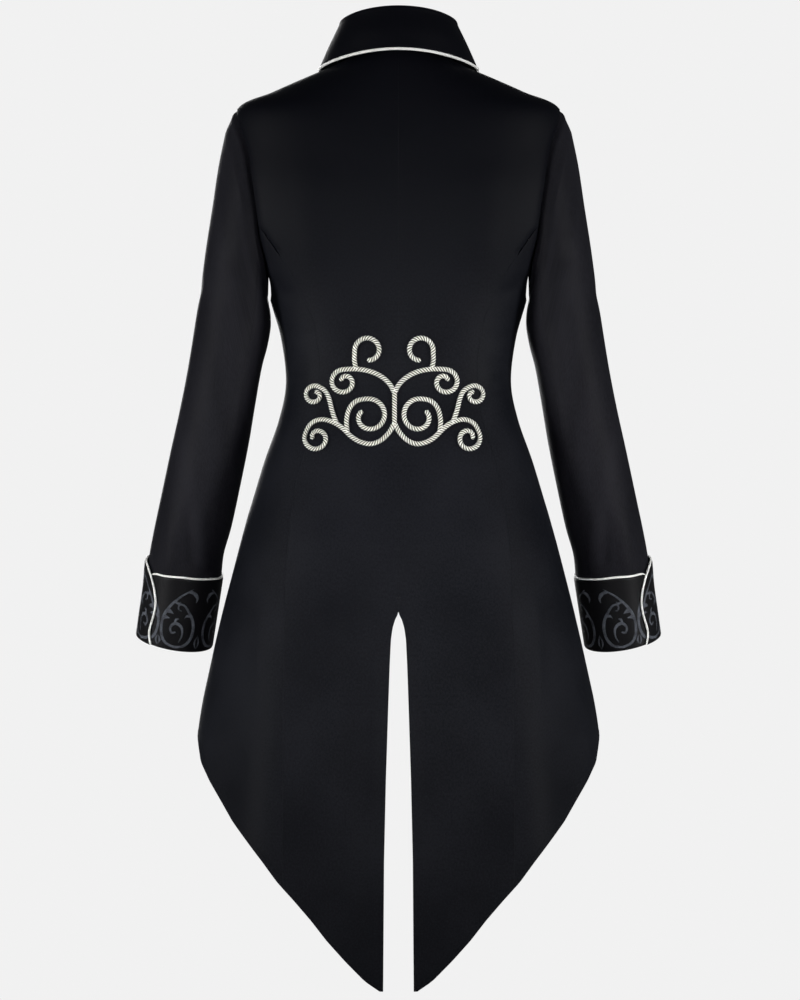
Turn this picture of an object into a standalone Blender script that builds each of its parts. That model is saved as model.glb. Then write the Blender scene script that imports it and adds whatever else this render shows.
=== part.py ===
"""An embroidered tailcoat in its worn, hollow form, for Blender 4.5.

Metres in the scene and millimetres in the tables. +Z is up and the front faces -Y, so the wearer's left is +X.
The origin is between the two neck sides, where the coat hangs from the shoulders.
"""

import math

import bmesh
import bpy
import numpy as np

MM = 0.001
BODY_WALL = 1.8  # cloth with its lining, in the body
SLEEVE_WALL = 1.6
SEAM_GAP = 0.3  # between two pieces that are sewn together
OVERLAP = 12.0  # of each front past the centre line
LAP_RISE = 3.0  # of the right front over the left
CUFF_WALL = 1.6
PIPING_RADIUS = 1.3
BRAID_WIDTH = 5.6
BRAID_HEIGHT = 3.0
BUTTON_RADIUS = 7.5
BUTTON_HEIGHT = 3.0

# Sections of the body from the neck seam to the underarm. Height at the side, back and front, half width behind and
# before the side, reach to the back and to the front, centre, squareness.
YOKE_ROWS = (
    (1, 20, -75, 72, 72, 68, 62, 8, 2.0),
    (-13, -8, -100, 108, 108, 82, 82, 5, 2.1),
    (-30, -42, -125, 147, 147, 93, 97, 3, 2.3),
    (-49, -80, -150, 187, 187, 100, 107, 2, 2.4),
    (-95, -125, -180, 194, 180, 104, 114, 2, 2.4),
    (-141, -165, -208, 198, 172, 105, 120, 2, 2.4),
    (-190, -205, -235, 189, 164, 103, 124, 2, 2.4),
    (-235, -240, -255, 165, 156, 100, 124, 2, 2.4),
)
# Level sections below the underarm: height, half width, reach to the back, reach to the front.
LOWER_ROWS = (
    (-270, 148.5, 97, 121),
    (-315, 136, 92, 112),
    (-365, 130.5, 90, 104),
    (-408, 138.6, 97, 108),
    (-455, 155, 109, 116),
    (-501, 169, 121, 124),
    (-547, 183, 132, 130),
    (-594, 195.5, 140, 134),
    (-640, 207, 147, 138),
    (-687, 217.5, 153, 141),
    (-733, 227, 158, 143),
    (-775, 233, 162, 145),
    (-842, 241, 168, 147),
    (-907, 247, 174, 149),
    (-971, 252, 179, 150),
    (-1050, 257, 185, 151),
)
BODY_ROWS = np.array(YOKE_ROWS + tuple((z, z, z, w, w, b, f, 0, 2.35) for z, w, b, f in LOWER_ROWS), float)
SHOULDER_LEVEL = 3
UNDERARM_LEVEL = 8
# Heights of the rows of the panels below the underarm.
PANEL_HEIGHTS = (-292, -315, -340, -365, -387, -408, -431, -455, -478, -501, -547, -594, -626, -636, -658, -687,
                 -733, -768)
TAIL_HEIGHTS = (-801, -821, -842, -864, -885, -907, -925, -934, -953, -973, -994, -1015, -1037, -1049)
# Seams and edges as height and distance from the centre line.
SIDE_BACK_SEAM = ((-190, 158.5), (-235, 127), (-292, 98), (-340, 89), (-387, 91), (-431, 102), (-478, 116),
                  (-524, 123), (-570, 127), (-640, 129), (-733, 130), (-842, 130), (-925, 130))
VENT_EDGE = ((-612, 0), (-626, 0.3), (-636, 4.0), (-658, 8.4), (-687, 9.8), (-733, 11.4), (-815, 14.0), (-904, 16.0),
             (-1049, 17.0))
BACK_HEM = ((-768, 232.2), (-775, 231.5), (-801, 226.4), (-821, 215.7), (-842, 202), (-864, 187.8), (-885, 170.6),
            (-907, 152.6), (-929, 135.8), (-950, 116.2), (-971, 97.6), (-993, 80), (-1015, 59.7), (-1037, 37.5),
            (-1049, 19.6))
CUTAWAY = ((-400, -OVERLAP), (-415, -9), (-431, 2), (-455, 22), (-501, 56), (-547, 87), (-594, 117), (-640, 145),
           (-687, 172), (-733, 202), (-768, 228))

# The armhole seen from the side: an oval from the shoulder tip to the underarm.
ARMHOLE_TOP, ARMHOLE_BOTTOM, ARMHOLE_CENTRE = -49.0, -270.0, 2.0
ARMHOLE_BACK, ARMHOLE_FRONT = 66.0, 60.0
ARMHOLE_STEPS = 10
SIDE_BACK_STEP = 6  # where the side-back seam meets the armhole
BACK_COLUMNS, SIDE_BACK_COLUMNS = 8, 5
FRONT_SHARES = (0, 0.16, 0.32, 0.48, 0.62, 0.74, 0.84, 0.92, 1)  # its columns, from the side to the edge

# Sections of the sleeve: outer point x and z, inner point x and z, centre, reach behind, reach before, tilt.
SLEEVE_ROWS = np.array((
    (200.5, -76, 149.6, -275, 3, 67, 62, 0),
    (208.5, -115, 148.6, -282, 4, 65, 61, 0),
    (215.5, -162, 147.9, -291, 5, 62, 60, 0),
    (222.5, -207, 148.2, -303, 6, 59, 58, 0),
    (229.0, -254, 152.0, -324, 6, 56, 56, 1),
    (236.5, -303, 158.5, -349, 6, 54, 54, 3),
    (244.3, -350, 166.0, -391, 4, 52, 52, 6),
    (253.5, -396, 173.2, -434, 1, 50.5, 50.5, 9),
    (264.5, -444, 183.0, -482, -5, 49.5, 49.5, 11),
    (275.5, -493, 194.0, -531, -15, 48.5, 48.5, 12),
    (285.5, -537, 203.5, -563, -26, 47.5, 47.5, 13),
    (291.5, -568, 207.0, -589, -34, 46, 46, 14),
    (294.8, -600, 211.5, -617, -42, 45, 45, 14),
    (299.3, -629, 216.0, -644, -49, 44.5, 44.5, 14),
    (303.6, -657, 220.5, -671, -56, 44, 44, 14),
), float)
SLEEVE_COLUMNS = 20
SLEEVE_SEAM = 7  # columns from the top line to the back and front seams
CUFF_ROW_LENGTH = 29.0  # sleeve length between its last rows

# The cuff: share of its height, start and end of the row as turns about the sleeve, in degrees.
CUFF_ROWS = ((0.0, 28, 413), (0.2, 28, 406), (0.4, 28, 411), (0.6, 28, 412), (0.8, 29, 404), (0.92, 36, 392),
             (1.0, 58, 369))
# Height of the cuff about the sleeve: turn and height.
CUFF_HEIGHT = ((28, 80), (60, 83), (90, 87), (135, 85), (180, 84), (270, 86), (360, 86), (413, 86))
CUFF_COLUMNS = 27

# The braid on one half, seen from behind, from the middle of the stem: out and up.
STEM_X, STEM_Z, STEM_HALF = 4.5, -397.0, 20.6
# Each strand: lead points, then a spiral by centre, first and last radius, first angle and sweep.
STRANDS = {
    "arm": (((3.0, 22.9), (6.8, 29.6), (15.6, 37.3), (28, 43), (42.6, 45.7)),
            (58.5, 31.1), 14.4, 4.0, 90, -395),
    "curl": (((44.8, 49.6), (46.4, 56.5)), (31.8, 66.8), 14.9, 11.0, -12, 285),
    "sweep": (((3.0, -22.9), (8.2, -31.0), (16.6, -38.4), (28, -42.1), (41, -38.9), (50.7, -32.4), (58.8, -24.2),
               (66.9, -18.2), (75.5, -13.8), (86.3, -12.4), (96.5, -15.5)), (89.3, -34), 14.6, 4.4, 22, -370),
    "volute": (((54.9, -19.6), (55.1, -13.5), (51.8, -0.5), (42.6, 7.6)), (30, -8.9), 18.4, 8.6, 84, 316),
    "scroll": (((68.9, -10.4), (71.4, -4.6), (73.4, 3.0), (75.6, 12.0), (79.4, 20.4)), (91.6, 16.6), 10.6, 3.8, 128,
               -370),
}
BRAID_STEP = 6.0

# The collar: turn from the centre back, fold and leaf edge are ovals by half width, back, front and three heights.
COLLAR_FOLD = (62.5, 69, 60, 56.5, 64, -35)
COLLAR_EDGE = (91, 88, 104, -0.5, 14, -105)
BUTTON_HEIGHTS = (-112, -184, -256, -328, -396)

COLOURS = {
    "coat_cloth": ((0.012, 0.012, 0.014, 1.0), 0.62, 0.0),
    "cuff_brocade": ((0.030, 0.030, 0.034, 1.0), 0.55, 0.0),
    "piping": ((0.62, 0.62, 0.60, 1.0), 0.42, 0.0),
    "braid": ((0.66, 0.66, 0.56, 1.0), 0.55, 0.0),
    "button": ((0.010, 0.010, 0.011, 1.0), 0.25, 0.0),
}


def spline(table, position):
    """All columns of a table at a row position, by a smooth curve through its rows."""
    last = len(table) - 1
    position = min(max(position, 0.0), float(last))
    low = min(int(position), last - 1)
    part = position - low
    before, here = table[max(low - 1, 0)], table[low]
    after, beyond = table[low + 1], table[min(low + 2, last)]
    return 0.5 * (2 * here + (after - before) * part + (2 * before - 5 * here + 4 * after - beyond) * part**2
                  + (3 * here - before - 3 * after + beyond) * part**3)


def read_edge(table, height):
    """Distance of an edge from the centre line at a height."""
    heights = [row[0] for row in reversed(table)]
    return float(np.interp(height, heights, [row[1] for row in reversed(table)]))


def solve(function, low, high):
    """Where a function of one value crosses zero between two values."""
    rising = function(high) > function(low)
    for _ in range(44):
        middle = 0.5 * (low + high)
        if (function(middle) > 0) == rising:
            high = middle
        else:
            low = middle
    return 0.5 * (low + high)


def smooth(value):
    value = min(max(value, 0.0), 1.0)
    return value * value * (3 - 2 * value)


def unit(vector):
    return vector / max(np.linalg.norm(vector), 1e-12)


def skirt_fold(angle, height):
    """Soft fold of the skirt: a ridge along the side-back seam and a hollow beside it."""
    depth = smooth((-540 - height) / 330)
    turn = math.degrees(angle)
    return depth * (6 * math.exp(-(((turn - 46) / 9) ** 2)) - 5 * math.exp(-(((turn - 64) / 9) ** 2)))


def body_point(angle, level):
    """Point on the outer face of the body, by its turn from the centre back and its level."""
    z_side, z_back, z_front, half_back, half_front, back, front, centre, square = spline(BODY_ROWS, level)
    sine, cosine = math.sin(angle), math.cos(angle)
    if cosine > 0:
        half, depth, z_middle = half_back, back - centre, z_back
    else:
        half, depth, z_middle = half_front, front + centre, z_front
    radius = ((abs(sine) / half) ** square + (abs(cosine) / depth) ** square) ** (-1 / square)
    height = z_side + (z_middle - z_side) * cosine**2
    radius += skirt_fold(abs(angle), height)
    return np.array((radius * sine, centre + radius * cosine, height))


def body_normal(angle, level):
    turn = body_point(angle + 0.01, level) - body_point(angle - 0.01, level)
    drop = body_point(angle, min(level + 0.03, len(BODY_ROWS) - 1)) - body_point(angle, max(level - 0.03, 0))
    normal = unit(np.cross(turn, drop))
    return normal if normal @ np.array((math.sin(angle), math.cos(angle), 0.2)) > 0 else -normal


def level_at(height):
    """Level of the flat section at a height."""
    return solve(lambda level: spline(BODY_ROWS, level)[0] - height, UNDERARM_LEVEL - 0.01, len(BODY_ROWS) - 1)


def angle_at(distance, level, front=False):
    """Turn at which a section is a distance from the centre line."""
    low, high = (math.pi / 2, math.radians(200)) if front else (math.radians(-20), math.pi / 2)
    return solve(lambda angle: body_point(angle, level)[0] - distance, low, high)


def seam_angle(table, level):
    """Turn of a seam that is given by height and distance, also where the sections slope."""
    def miss(angle):
        point = body_point(angle, level)
        return point[0] - read_edge(table, point[2])
    return solve(miss, 0.0, math.pi / 2)


def armhole_place(step, front):
    """Turn and level of one point of the armhole."""
    around = math.pi * step / ARMHOLE_STEPS
    half = 0.5 * (ARMHOLE_TOP - ARMHOLE_BOTTOM)
    height = 0.5 * (ARMHOLE_TOP + ARMHOLE_BOTTOM) + half * math.cos(around)
    reach = -ARMHOLE_FRONT if front else ARMHOLE_BACK
    depth = ARMHOLE_CENTRE + reach * math.sin(around)
    if step in (0, ARMHOLE_STEPS):
        return math.pi / 2, float(SHOULDER_LEVEL if step == 0 else UNDERARM_LEVEL)
    low, high = (math.pi / 2, math.pi * 0.95) if front else (0.05, math.pi / 2)

    def turn(level):
        return solve(lambda angle: body_point(angle, level)[1] - depth, low, high)

    level = solve(lambda level: body_point(turn(level), level)[2] - height, SHOULDER_LEVEL, UNDERARM_LEVEL)
    return turn(level), level


ARMHOLE = {front: [armhole_place(step, front) for step in range(ARMHOLE_STEPS + 1)] for front in (False, True)}


def sleeve_point(angle, position):
    """Point on the outer face of the sleeve: turn from its outer line towards the back, and place in its rows."""
    outer_x, outer_z, inner_x, inner_z, centre, back, front, tilt = spline(SLEEVE_ROWS, position)
    cosine, sine = math.cos(angle), math.sin(angle)
    lean = math.radians(tilt)
    reach = (back if sine > 0 else front) * sine
    return np.array((
        0.5 * (outer_x + inner_x) + 0.5 * (outer_x - inner_x) * cosine,
        centre + reach * math.cos(lean),
        0.5 * (outer_z + inner_z) + 0.5 * (outer_z - inner_z) * cosine - reach * math.sin(lean),
    ))


def sleeve_normal(angle, position):
    turn = sleeve_point(angle + 0.02, position) - sleeve_point(angle - 0.02, position)
    last = len(SLEEVE_ROWS) - 1
    drop = sleeve_point(angle, min(position + 0.05, last)) - sleeve_point(angle, max(position - 0.05, 0))
    normal = unit(np.cross(turn, drop))
    centre = 0.5 * (sleeve_point(angle, position) + sleeve_point(angle + math.pi, position))
    return normal if normal @ (sleeve_point(angle, position) - centre) > 0 else -normal


def grid_normals(grid, centres, closed=False):
    """Outward normals of a grid of points, from its neighbouring points."""
    down = np.gradient(grid, axis=0)
    around = np.roll(grid, -1, axis=1) - np.roll(grid, 1, axis=1) if closed else np.gradient(grid, axis=1)
    normals = np.cross(around, down)
    normals /= np.maximum(np.linalg.norm(normals, axis=2, keepdims=True), 1e-9)
    facing = np.sum(normals * (grid - centres), axis=2, keepdims=True)
    return np.where(facing < 0, -normals, normals)


def make_armhole():
    """Ring of the armhole with the sleeve's first ring beside it and the slant that both rims share."""
    ring, body_normals = [], []
    for column in range(SLEEVE_COLUMNS):
        front = column > ARMHOLE_STEPS
        step = SLEEVE_COLUMNS - column if front else column
        angle, level = ARMHOLE[front][step]
        ring.append(body_point(angle, level))
        body_normals.append(body_normal(angle, level - 0.04 if step == 0 else level))
    ring = np.array(ring)
    turns = [2 * math.pi * column / SLEEVE_COLUMNS for column in range(SLEEVE_COLUMNS)]
    rows = [ring] + [np.array([sleeve_point(turn, row) for turn in turns]) for row in range(len(SLEEVE_ROWS))]
    rows = np.array(rows)
    normals = grid_normals(rows, rows.mean(axis=1, keepdims=True), closed=True)
    centre = ring.mean(axis=0)
    slants = []
    for column, point in enumerate(ring):
        along = unit(ring[(column + 1) % SLEEVE_COLUMNS] - ring[column - 1])
        to_body = unit(np.cross(body_normals[column], along))
        away = np.array((0.0, *(point - centre)[1:]))
        to_body = to_body if to_body @ away > 0 else -to_body
        to_sleeve = unit(np.cross(normals[0, column], along))
        to_sleeve = to_sleeve if to_sleeve @ (rows[2, column] - point) > 0 else -to_sleeve
        bisector = to_body + to_sleeve
        slant = None
        if bisector @ body_normals[column] < -0.02:
            half = 0.5 * math.acos(max(-1.0, min(1.0, float(to_body @ to_sleeve))))
            slant = unit(bisector) * BODY_WALL / max(math.sin(half), 0.5)
        slants.append(slant)
        rows[0, column] = point + unit(to_sleeve - to_body) * 1.3 * SEAM_GAP
    return rows, normals, slants


def wall_mesh(outer, inner):
    """Vertices and faces of a closed wall between two grids of points of the same size."""
    rows, columns = outer.shape[:2]
    count = rows * columns
    vertices = np.concatenate((outer.reshape(-1, 3), inner.reshape(-1, 3)))
    faces = []
    for row in range(rows - 1):
        for column in range(columns - 1):
            corner = row * columns + column
            quad = (corner, corner + 1, corner + columns + 1, corner + columns)
            faces.append(quad)
            faces.append(tuple(count + index for index in reversed(quad)))
    edge = [column for column in range(columns)]
    edge += [row * columns + columns - 1 for row in range(1, rows)]
    edge += [(rows - 1) * columns + column for column in range(columns - 2, -1, -1)]
    edge += [row * columns for row in range(rows - 2, 0, -1)]
    for index, start in enumerate(edge):
        end = edge[(index + 1) % len(edge)]
        faces.append((end, start, count + start, count + end))
    return vertices, faces


def tube_mesh(path, normals, section):
    """Closed tube along a path, with a section given as sideways and upwards distances."""
    path = np.asarray(path)
    tangents = np.gradient(path, axis=0)
    vertices, faces = [], []
    size = len(section)
    for point, tangent, normal in zip(path, tangents, normals):
        tangent = unit(tangent)
        up = unit(normal - tangent * (normal @ tangent))
        side = np.cross(tangent, up)
        vertices += [point + side * across + up * height for across, height in section]
    for ring in range(len(path) - 1):
        for index in range(size):
            after = (index + 1) % size
            start = ring * size
            faces.append((start + index, start + after, start + size + after, start + size + index))
    faces.append(tuple(range(size)))
    faces.append(tuple(range(len(vertices) - size, len(vertices))))
    return np.array(vertices), faces


def round_section(radius, sides=6):
    turns = [2 * math.pi * (index + 0.5) / sides for index in range(sides)]
    return [(radius * math.cos(turn), radius * math.sin(turn)) for turn in turns]


class Coat:
    """Objects of the coat, their materials and the empty that carries them."""

    def __init__(self):
        for item in list(bpy.data.objects):
            bpy.data.objects.remove(item, do_unlink=True)
        self.root = bpy.data.objects.new("coat", None)
        bpy.context.scene.collection.objects.link(self.root)

    def add(self, name, finish, vertices, faces, mirrored=False):
        points = np.array(vertices) * MM
        if mirrored:
            points = points * (-1, 1, 1)
        mesh = bpy.data.meshes.new(name)
        mesh.from_pydata(points.tolist(), [], faces)
        work = bmesh.new()
        work.from_mesh(mesh)
        bmesh.ops.recalc_face_normals(work, faces=work.faces)
        work.to_mesh(mesh)
        work.free()
        item = bpy.data.objects.new(name, mesh)
        item.parent = self.root
        bpy.context.scene.collection.objects.link(item)
        colour, roughness, metallic = COLOURS[finish]
        material = bpy.data.materials.new(name)
        material.use_nodes = True
        shader = material.node_tree.nodes["Principled BSDF"]
        shader.inputs["Base Color"].default_value = colour
        shader.inputs["Roughness"].default_value = roughness
        shader.inputs["Metallic"].default_value = metallic
        mesh.materials.append(material)
        return item


def panel(rows, shares, raise_by=None):
    """Outer and inner grids of a body panel from rows of level, first turn and last turn."""
    outer, inner = [], []
    for level, first, last in rows:
        angles = [first + (last - first) * share for share in shares]
        points = [body_point(angle, level) for angle in angles]
        normals = [body_normal(angle, level) for angle in angles]
        lifts = [raise_by(point) if raise_by else 0.0 for point in points]
        outer.append([point + normal * lift for point, normal, lift in zip(points, normals, lifts)])
        inner.append([point + normal * (lift - BODY_WALL) for point, normal, lift in zip(points, normals, lifts)])
    return np.array(outer), np.array(inner)


def shifted(angle, level, side):
    """A turn moved half the seam gap to one side."""
    radius = np.linalg.norm(body_point(angle, level)[:2])
    return angle + side * 0.5 * SEAM_GAP / radius


def back_start(level):
    """First turn of the back panel: its centre seam, or the edge of the vent."""
    height = body_point(0.0, level)[2]
    return angle_at(max(0.5 * SEAM_GAP, read_edge(VENT_EDGE, height)), level)


def even(count):
    return [index / count for index in range(count + 1)]


def lap_lift(point):
    """Rise of the right front where it laps over the left, for a point on the wearer's left."""
    return LAP_RISE * smooth((26 - point[0]) / 12)


def build_body(coat, slants):
    """The six panels of the body. Returns the joined grid of one half of the back, for what lies on it."""
    quarter = math.pi / 2
    yoke = (0.0, 0.75, 1.5, 2.25)
    back_rows = [(level, back_start(level), shifted(quarter, level, -1)) for level in yoke]
    side_rows = []
    arm_edges = {}
    for step, (angle, level) in enumerate(ARMHOLE[False]):
        if step < SIDE_BACK_STEP:
            arm_edges[len(back_rows)] = step
            back_rows.append((level, back_start(level), angle))
            continue
        seam = min(seam_angle(SIDE_BACK_SEAM, level), angle - 0.010)
        back_rows.append((level, back_start(level), shifted(seam, level, -1)))
        end = shifted(angle, level, -1) if step == ARMHOLE_STEPS else angle
        side_rows.append((level, shifted(seam, level, 1), end))
    for height in PANEL_HEIGHTS:
        level = level_at(height)
        seam = seam_angle(SIDE_BACK_SEAM, level)
        back_rows.append((level, back_start(level), shifted(seam, level, -1)))
        side_rows.append((level, shifted(seam, level, 1), shifted(quarter, level, -1)))
    for height in TAIL_HEIGHTS:
        level = level_at(height)
        hem = angle_at(read_edge(BACK_HEM, height), level)
        seam = seam_angle(SIDE_BACK_SEAM, level)
        back_rows.append((level, back_start(level), min(shifted(seam, level, -1), hem)))
        if hem - seam > 0.006:
            side_rows.append((level, shifted(seam, level, 1), hem))
    back, back_inner = panel(back_rows, even(BACK_COLUMNS))
    for row, step in arm_edges.items():
        if slants[step] is not None:
            back_inner[row, -1] = back[row, -1] + slants[step]
    side, side_inner = panel(side_rows, even(SIDE_BACK_COLUMNS))
    for name, mirrored in (("left", False), ("right", True)):
        coat.add(f"back_{name}", "coat_cloth", *wall_mesh(back, back_inner), mirrored)
        coat.add(f"side_back_{name}", "coat_cloth", *wall_mesh(side, side_inner), mirrored)
    build_fronts(coat, slants, yoke)
    below = len(back_rows) - len(PANEL_HEIGHTS) - len(TAIL_HEIGHTS)
    start = len(side_rows) - len([row for row in side_rows if row[0] > UNDERARM_LEVEL + 0.01])
    count = len(PANEL_HEIGHTS)
    return np.concatenate((back[below:below + count], side[start:start + count]), axis=1)


def build_fronts(coat, slants, yoke):
    quarter = math.pi / 2
    rows = []
    for level in yoke:
        rows.append((level, shifted(quarter, level, 1), angle_at(-OVERLAP, level, True)))
    for step, (angle, level) in enumerate(ARMHOLE[True]):
        first = shifted(angle, level, 1) if step == ARMHOLE_STEPS else angle
        rows.append((level, first, angle_at(-OVERLAP, level, True)))
    for height in PANEL_HEIGHTS:
        level = level_at(height)
        rows.append((level, shifted(quarter, level, 1), angle_at(read_edge(CUTAWAY, height), level, True)))
    for name, raised in (("left", False), ("right", True)):
        outer, inner = panel(rows, FRONT_SHARES, lap_lift if raised else None)
        for step in range(ARMHOLE_STEPS):
            slant = slants[(SLEEVE_COLUMNS - step) % SLEEVE_COLUMNS]
            row = len(yoke) + step
            if slant is not None:
                inner[row, 0] = outer[row, 0] + slant
        coat.add(f"front_{name}", "coat_cloth", *wall_mesh(outer, inner), raised)


def build_sleeves(coat, rows, normals, slants):
    inner = rows - normals * SLEEVE_WALL
    for column, slant in enumerate(slants):
        if slant is not None:
            inner[0, column] = rows[0, column] + slant * SLEEVE_WALL / BODY_WALL
    around = np.roll(rows, -1, axis=1) - np.roll(rows, 1, axis=1)
    around /= np.linalg.norm(around, axis=2, keepdims=True)
    spans = {
        "sleeve_upper": [column % SLEEVE_COLUMNS for column in range(-SLEEVE_SEAM, SLEEVE_SEAM + 1)],
        "sleeve_under": list(range(SLEEVE_SEAM, SLEEVE_COLUMNS - SLEEVE_SEAM + 1)),
    }
    for piece, columns in spans.items():
        outer_part, inner_part = rows[:, columns].copy(), inner[:, columns].copy()
        for index, side in ((0, 1), (-1, -1)):
            move = around[:, columns[index]] * side * 0.5 * SEAM_GAP
            outer_part[:, index] += move
            inner_part[:, index] += move
        for name, mirrored in (("left", False), ("right", True)):
            coat.add(f"{piece}_{name}", "coat_cloth", *wall_mesh(outer_part, inner_part), mirrored)


def cuff_point(angle, distance, offset):
    """Point beside the sleeve near its hem, by its turn, its distance from the hem and its offset."""
    position = len(SLEEVE_ROWS) - 1 - distance / CUFF_ROW_LENGTH
    point = sleeve_point(angle, position) + sleeve_normal(angle, position) * offset
    if distance < 0:
        last = len(SLEEVE_ROWS) - 1
        point += unit(sleeve_point(angle, last) - sleeve_point(angle, last - 0.2)) * -distance
    return point


def edge_path(grid, edge, beside, distance):
    """Path that follows the edge of a grid at a distance outside it."""
    points, inside = grid[edge], grid[beside]
    along = np.gradient(points, axis=0)
    path = []
    for point, neighbour, tangent in zip(points, inside, along):
        tangent = unit(tangent)
        away = point - neighbour
        path.append(point + unit(away - tangent * (away @ tangent)) * distance)
    return np.array(path)


def build_cuffs(coat):
    turns, heights = zip(*CUFF_HEIGHT)
    low = 1.0
    faces = {"outer": [], "inner": [], "middle": []}
    for share, start, end in CUFF_ROWS:
        row = {key: [] for key in faces}
        for column in range(CUFF_COLUMNS + 1):
            turn = start + (end - start) * column / CUFF_COLUMNS
            distance = share * float(np.interp(turn, turns, heights)) - 1.0
            lift = low + (CUFF_WALL + 0.7) * smooth((turn - 325) / 50)
            angle = math.radians(turn)
            row["inner"].append(cuff_point(angle, distance, lift))
            row["middle"].append(cuff_point(angle, distance, lift + 0.5 * CUFF_WALL))
            row["outer"].append(cuff_point(angle, distance, lift + CUFF_WALL))
        for key, points in row.items():
            faces[key].append(points)
    outer, inner, middle = (np.array(faces[key]) for key in ("outer", "inner", "middle"))
    reach = PIPING_RADIUS + SEAM_GAP
    top = edge_path(middle, (-1, slice(None)), (-2, slice(None)), reach)
    end = edge_path(middle, (slice(None), -1), (slice(None), -2), reach)[::-1]
    corner = 0.5 * (top[-1] + end[0])
    path = np.concatenate((top[:-1], [corner], end[1:]))
    normals = np.gradient(path, axis=0)
    centre = middle.mean(axis=(0, 1))
    ups = [np.array((*(point - centre)[:2], 0.0)) for point in path]
    for name, mirrored in (("left", False), ("right", True)):
        coat.add(f"cuff_{name}", "cuff_brocade", *wall_mesh(outer, inner), mirrored)
        coat.add(f"cuff_piping_{name}", "piping", *tube_mesh(path, ups, round_section(PIPING_RADIUS)), mirrored)
    return normals


def oval(shape, turn):
    """Point of an oval about the neck."""
    half, back, front, z_side, z_back, z_front = shape
    sine, cosine = math.sin(turn), math.cos(turn)
    depth, z_middle = (back, z_back) if cosine > 0 else (front, z_front)
    radius = 1 / math.hypot(sine / half, cosine / depth)
    return np.array((radius * sine, radius * cosine, z_side + (z_middle - z_side) * cosine**2))


def build_collar(coat):
    up = np.array((0, 0, 1.0))
    quarter = math.pi / 2
    end = angle_at(-OVERLAP, 0, True)
    turns = [quarter * share for share in even(BACK_COLUMNS)]
    turns += [quarter + (end - quarter) * share for share in FRONT_SHARES[1:] if share < 0.8]
    turns = [-turn for turn in reversed(turns[1:])] + turns
    stand = []
    for turn in turns:
        point = body_point(abs(turn), 0)
        base = point + body_normal(abs(turn), 0) * (lap_lift(point) if turn < 0 else 0)
        base = base * (1 if turn > 0 else -1, 1, 1) + up * 1.2 * SEAM_GAP
        fold = oval(COLLAR_FOLD, turn)
        swell = np.array((math.sin(turn), math.cos(turn), 0)) * 1.5
        stand.append([base, 0.5 * (base + fold) - swell, fold])
    stand = np.array(stand).transpose(1, 0, 2)
    normals = grid_normals(stand, stand.mean(axis=1, keepdims=True))
    coat.add("collar_stand", "coat_cloth", *wall_mesh(stand, stand - normals * BODY_WALL))
    leaf = []
    for turn in turns[1:-1]:
        fold, edge = oval(COLLAR_FOLD, turn), oval(COLLAR_EDGE, turn)
        out = unit((edge - fold) * (1, 1, 0))
        section = [fold + out * away + up * rise for away, rise in ((-0.9, 1.5), (0.8, 3.0), (3.2, 2.4), (5.2, -3.0))]
        start = section[-1]
        for share in (0.33, 0.66, 1.0):
            bulge = out * 1.0 * math.sin(math.pi * share)
            section.append(start + (edge - start) * share + bulge)
        leaf.append(section)
    leaf = np.array(leaf).transpose(1, 0, 2)
    around, down = np.gradient(leaf, axis=1), np.gradient(leaf, axis=0)
    normals = np.cross(around, down)
    normals /= np.linalg.norm(normals, axis=2, keepdims=True)
    if (normals[-1] * (leaf[-1] * (1, 1, 0))).sum() < 0:
        normals = -normals
    half = 0.5 * BODY_WALL
    coat.add("collar_fall", "coat_cloth", *wall_mesh(leaf + normals * half, leaf - normals * half))
    path = edge_path(leaf, (-1, slice(None)), (-2, slice(None)), PIPING_RADIUS + SEAM_GAP)
    coat.add("collar_piping", "piping", *tube_mesh(path, normals[-1], round_section(PIPING_RADIUS)))


def strand_curve(lead, centre, first, last, start, sweep):
    """Flat path of one strand of braid: lead points and then a spiral, at even steps."""
    points = [np.array(point, float) for point in lead]
    steps = max(8, int(abs(sweep) / 15))
    for index in range(steps + 1):
        share = index / steps
        radius = last + (first - last) * (1 - share**2.1)
        turn = math.radians(start + sweep * share)
        points.append(np.array(centre) + radius * np.array((math.cos(turn), math.sin(turn))))
    table = np.array(points)
    fine = np.array([spline(table, position) for position in np.linspace(0, len(table) - 1, 600)])
    lengths = np.concatenate(([0], np.cumsum(np.linalg.norm(np.diff(fine, axis=0), axis=1))))
    count = max(4, round(lengths[-1] / BRAID_STEP))
    marks = np.linspace(0, lengths[-1], count + 1)
    return np.column_stack([np.interp(marks, lengths, fine[:, axis]) for axis in (0, 1)])


def on_back(grid, x, z):
    """Point of the back by its place seen from behind, from the grid of its panels."""
    heights = grid[:, 0, 2]
    row = int(np.clip(np.searchsorted(-heights, -z) - 1, 0, len(heights) - 2))
    part = (z - heights[row]) / (heights[row + 1] - heights[row])
    line = grid[row] * (1 - part) + grid[row + 1] * part
    return np.array((x, np.interp(abs(x), line[:, 0], line[:, 1]), z))


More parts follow.
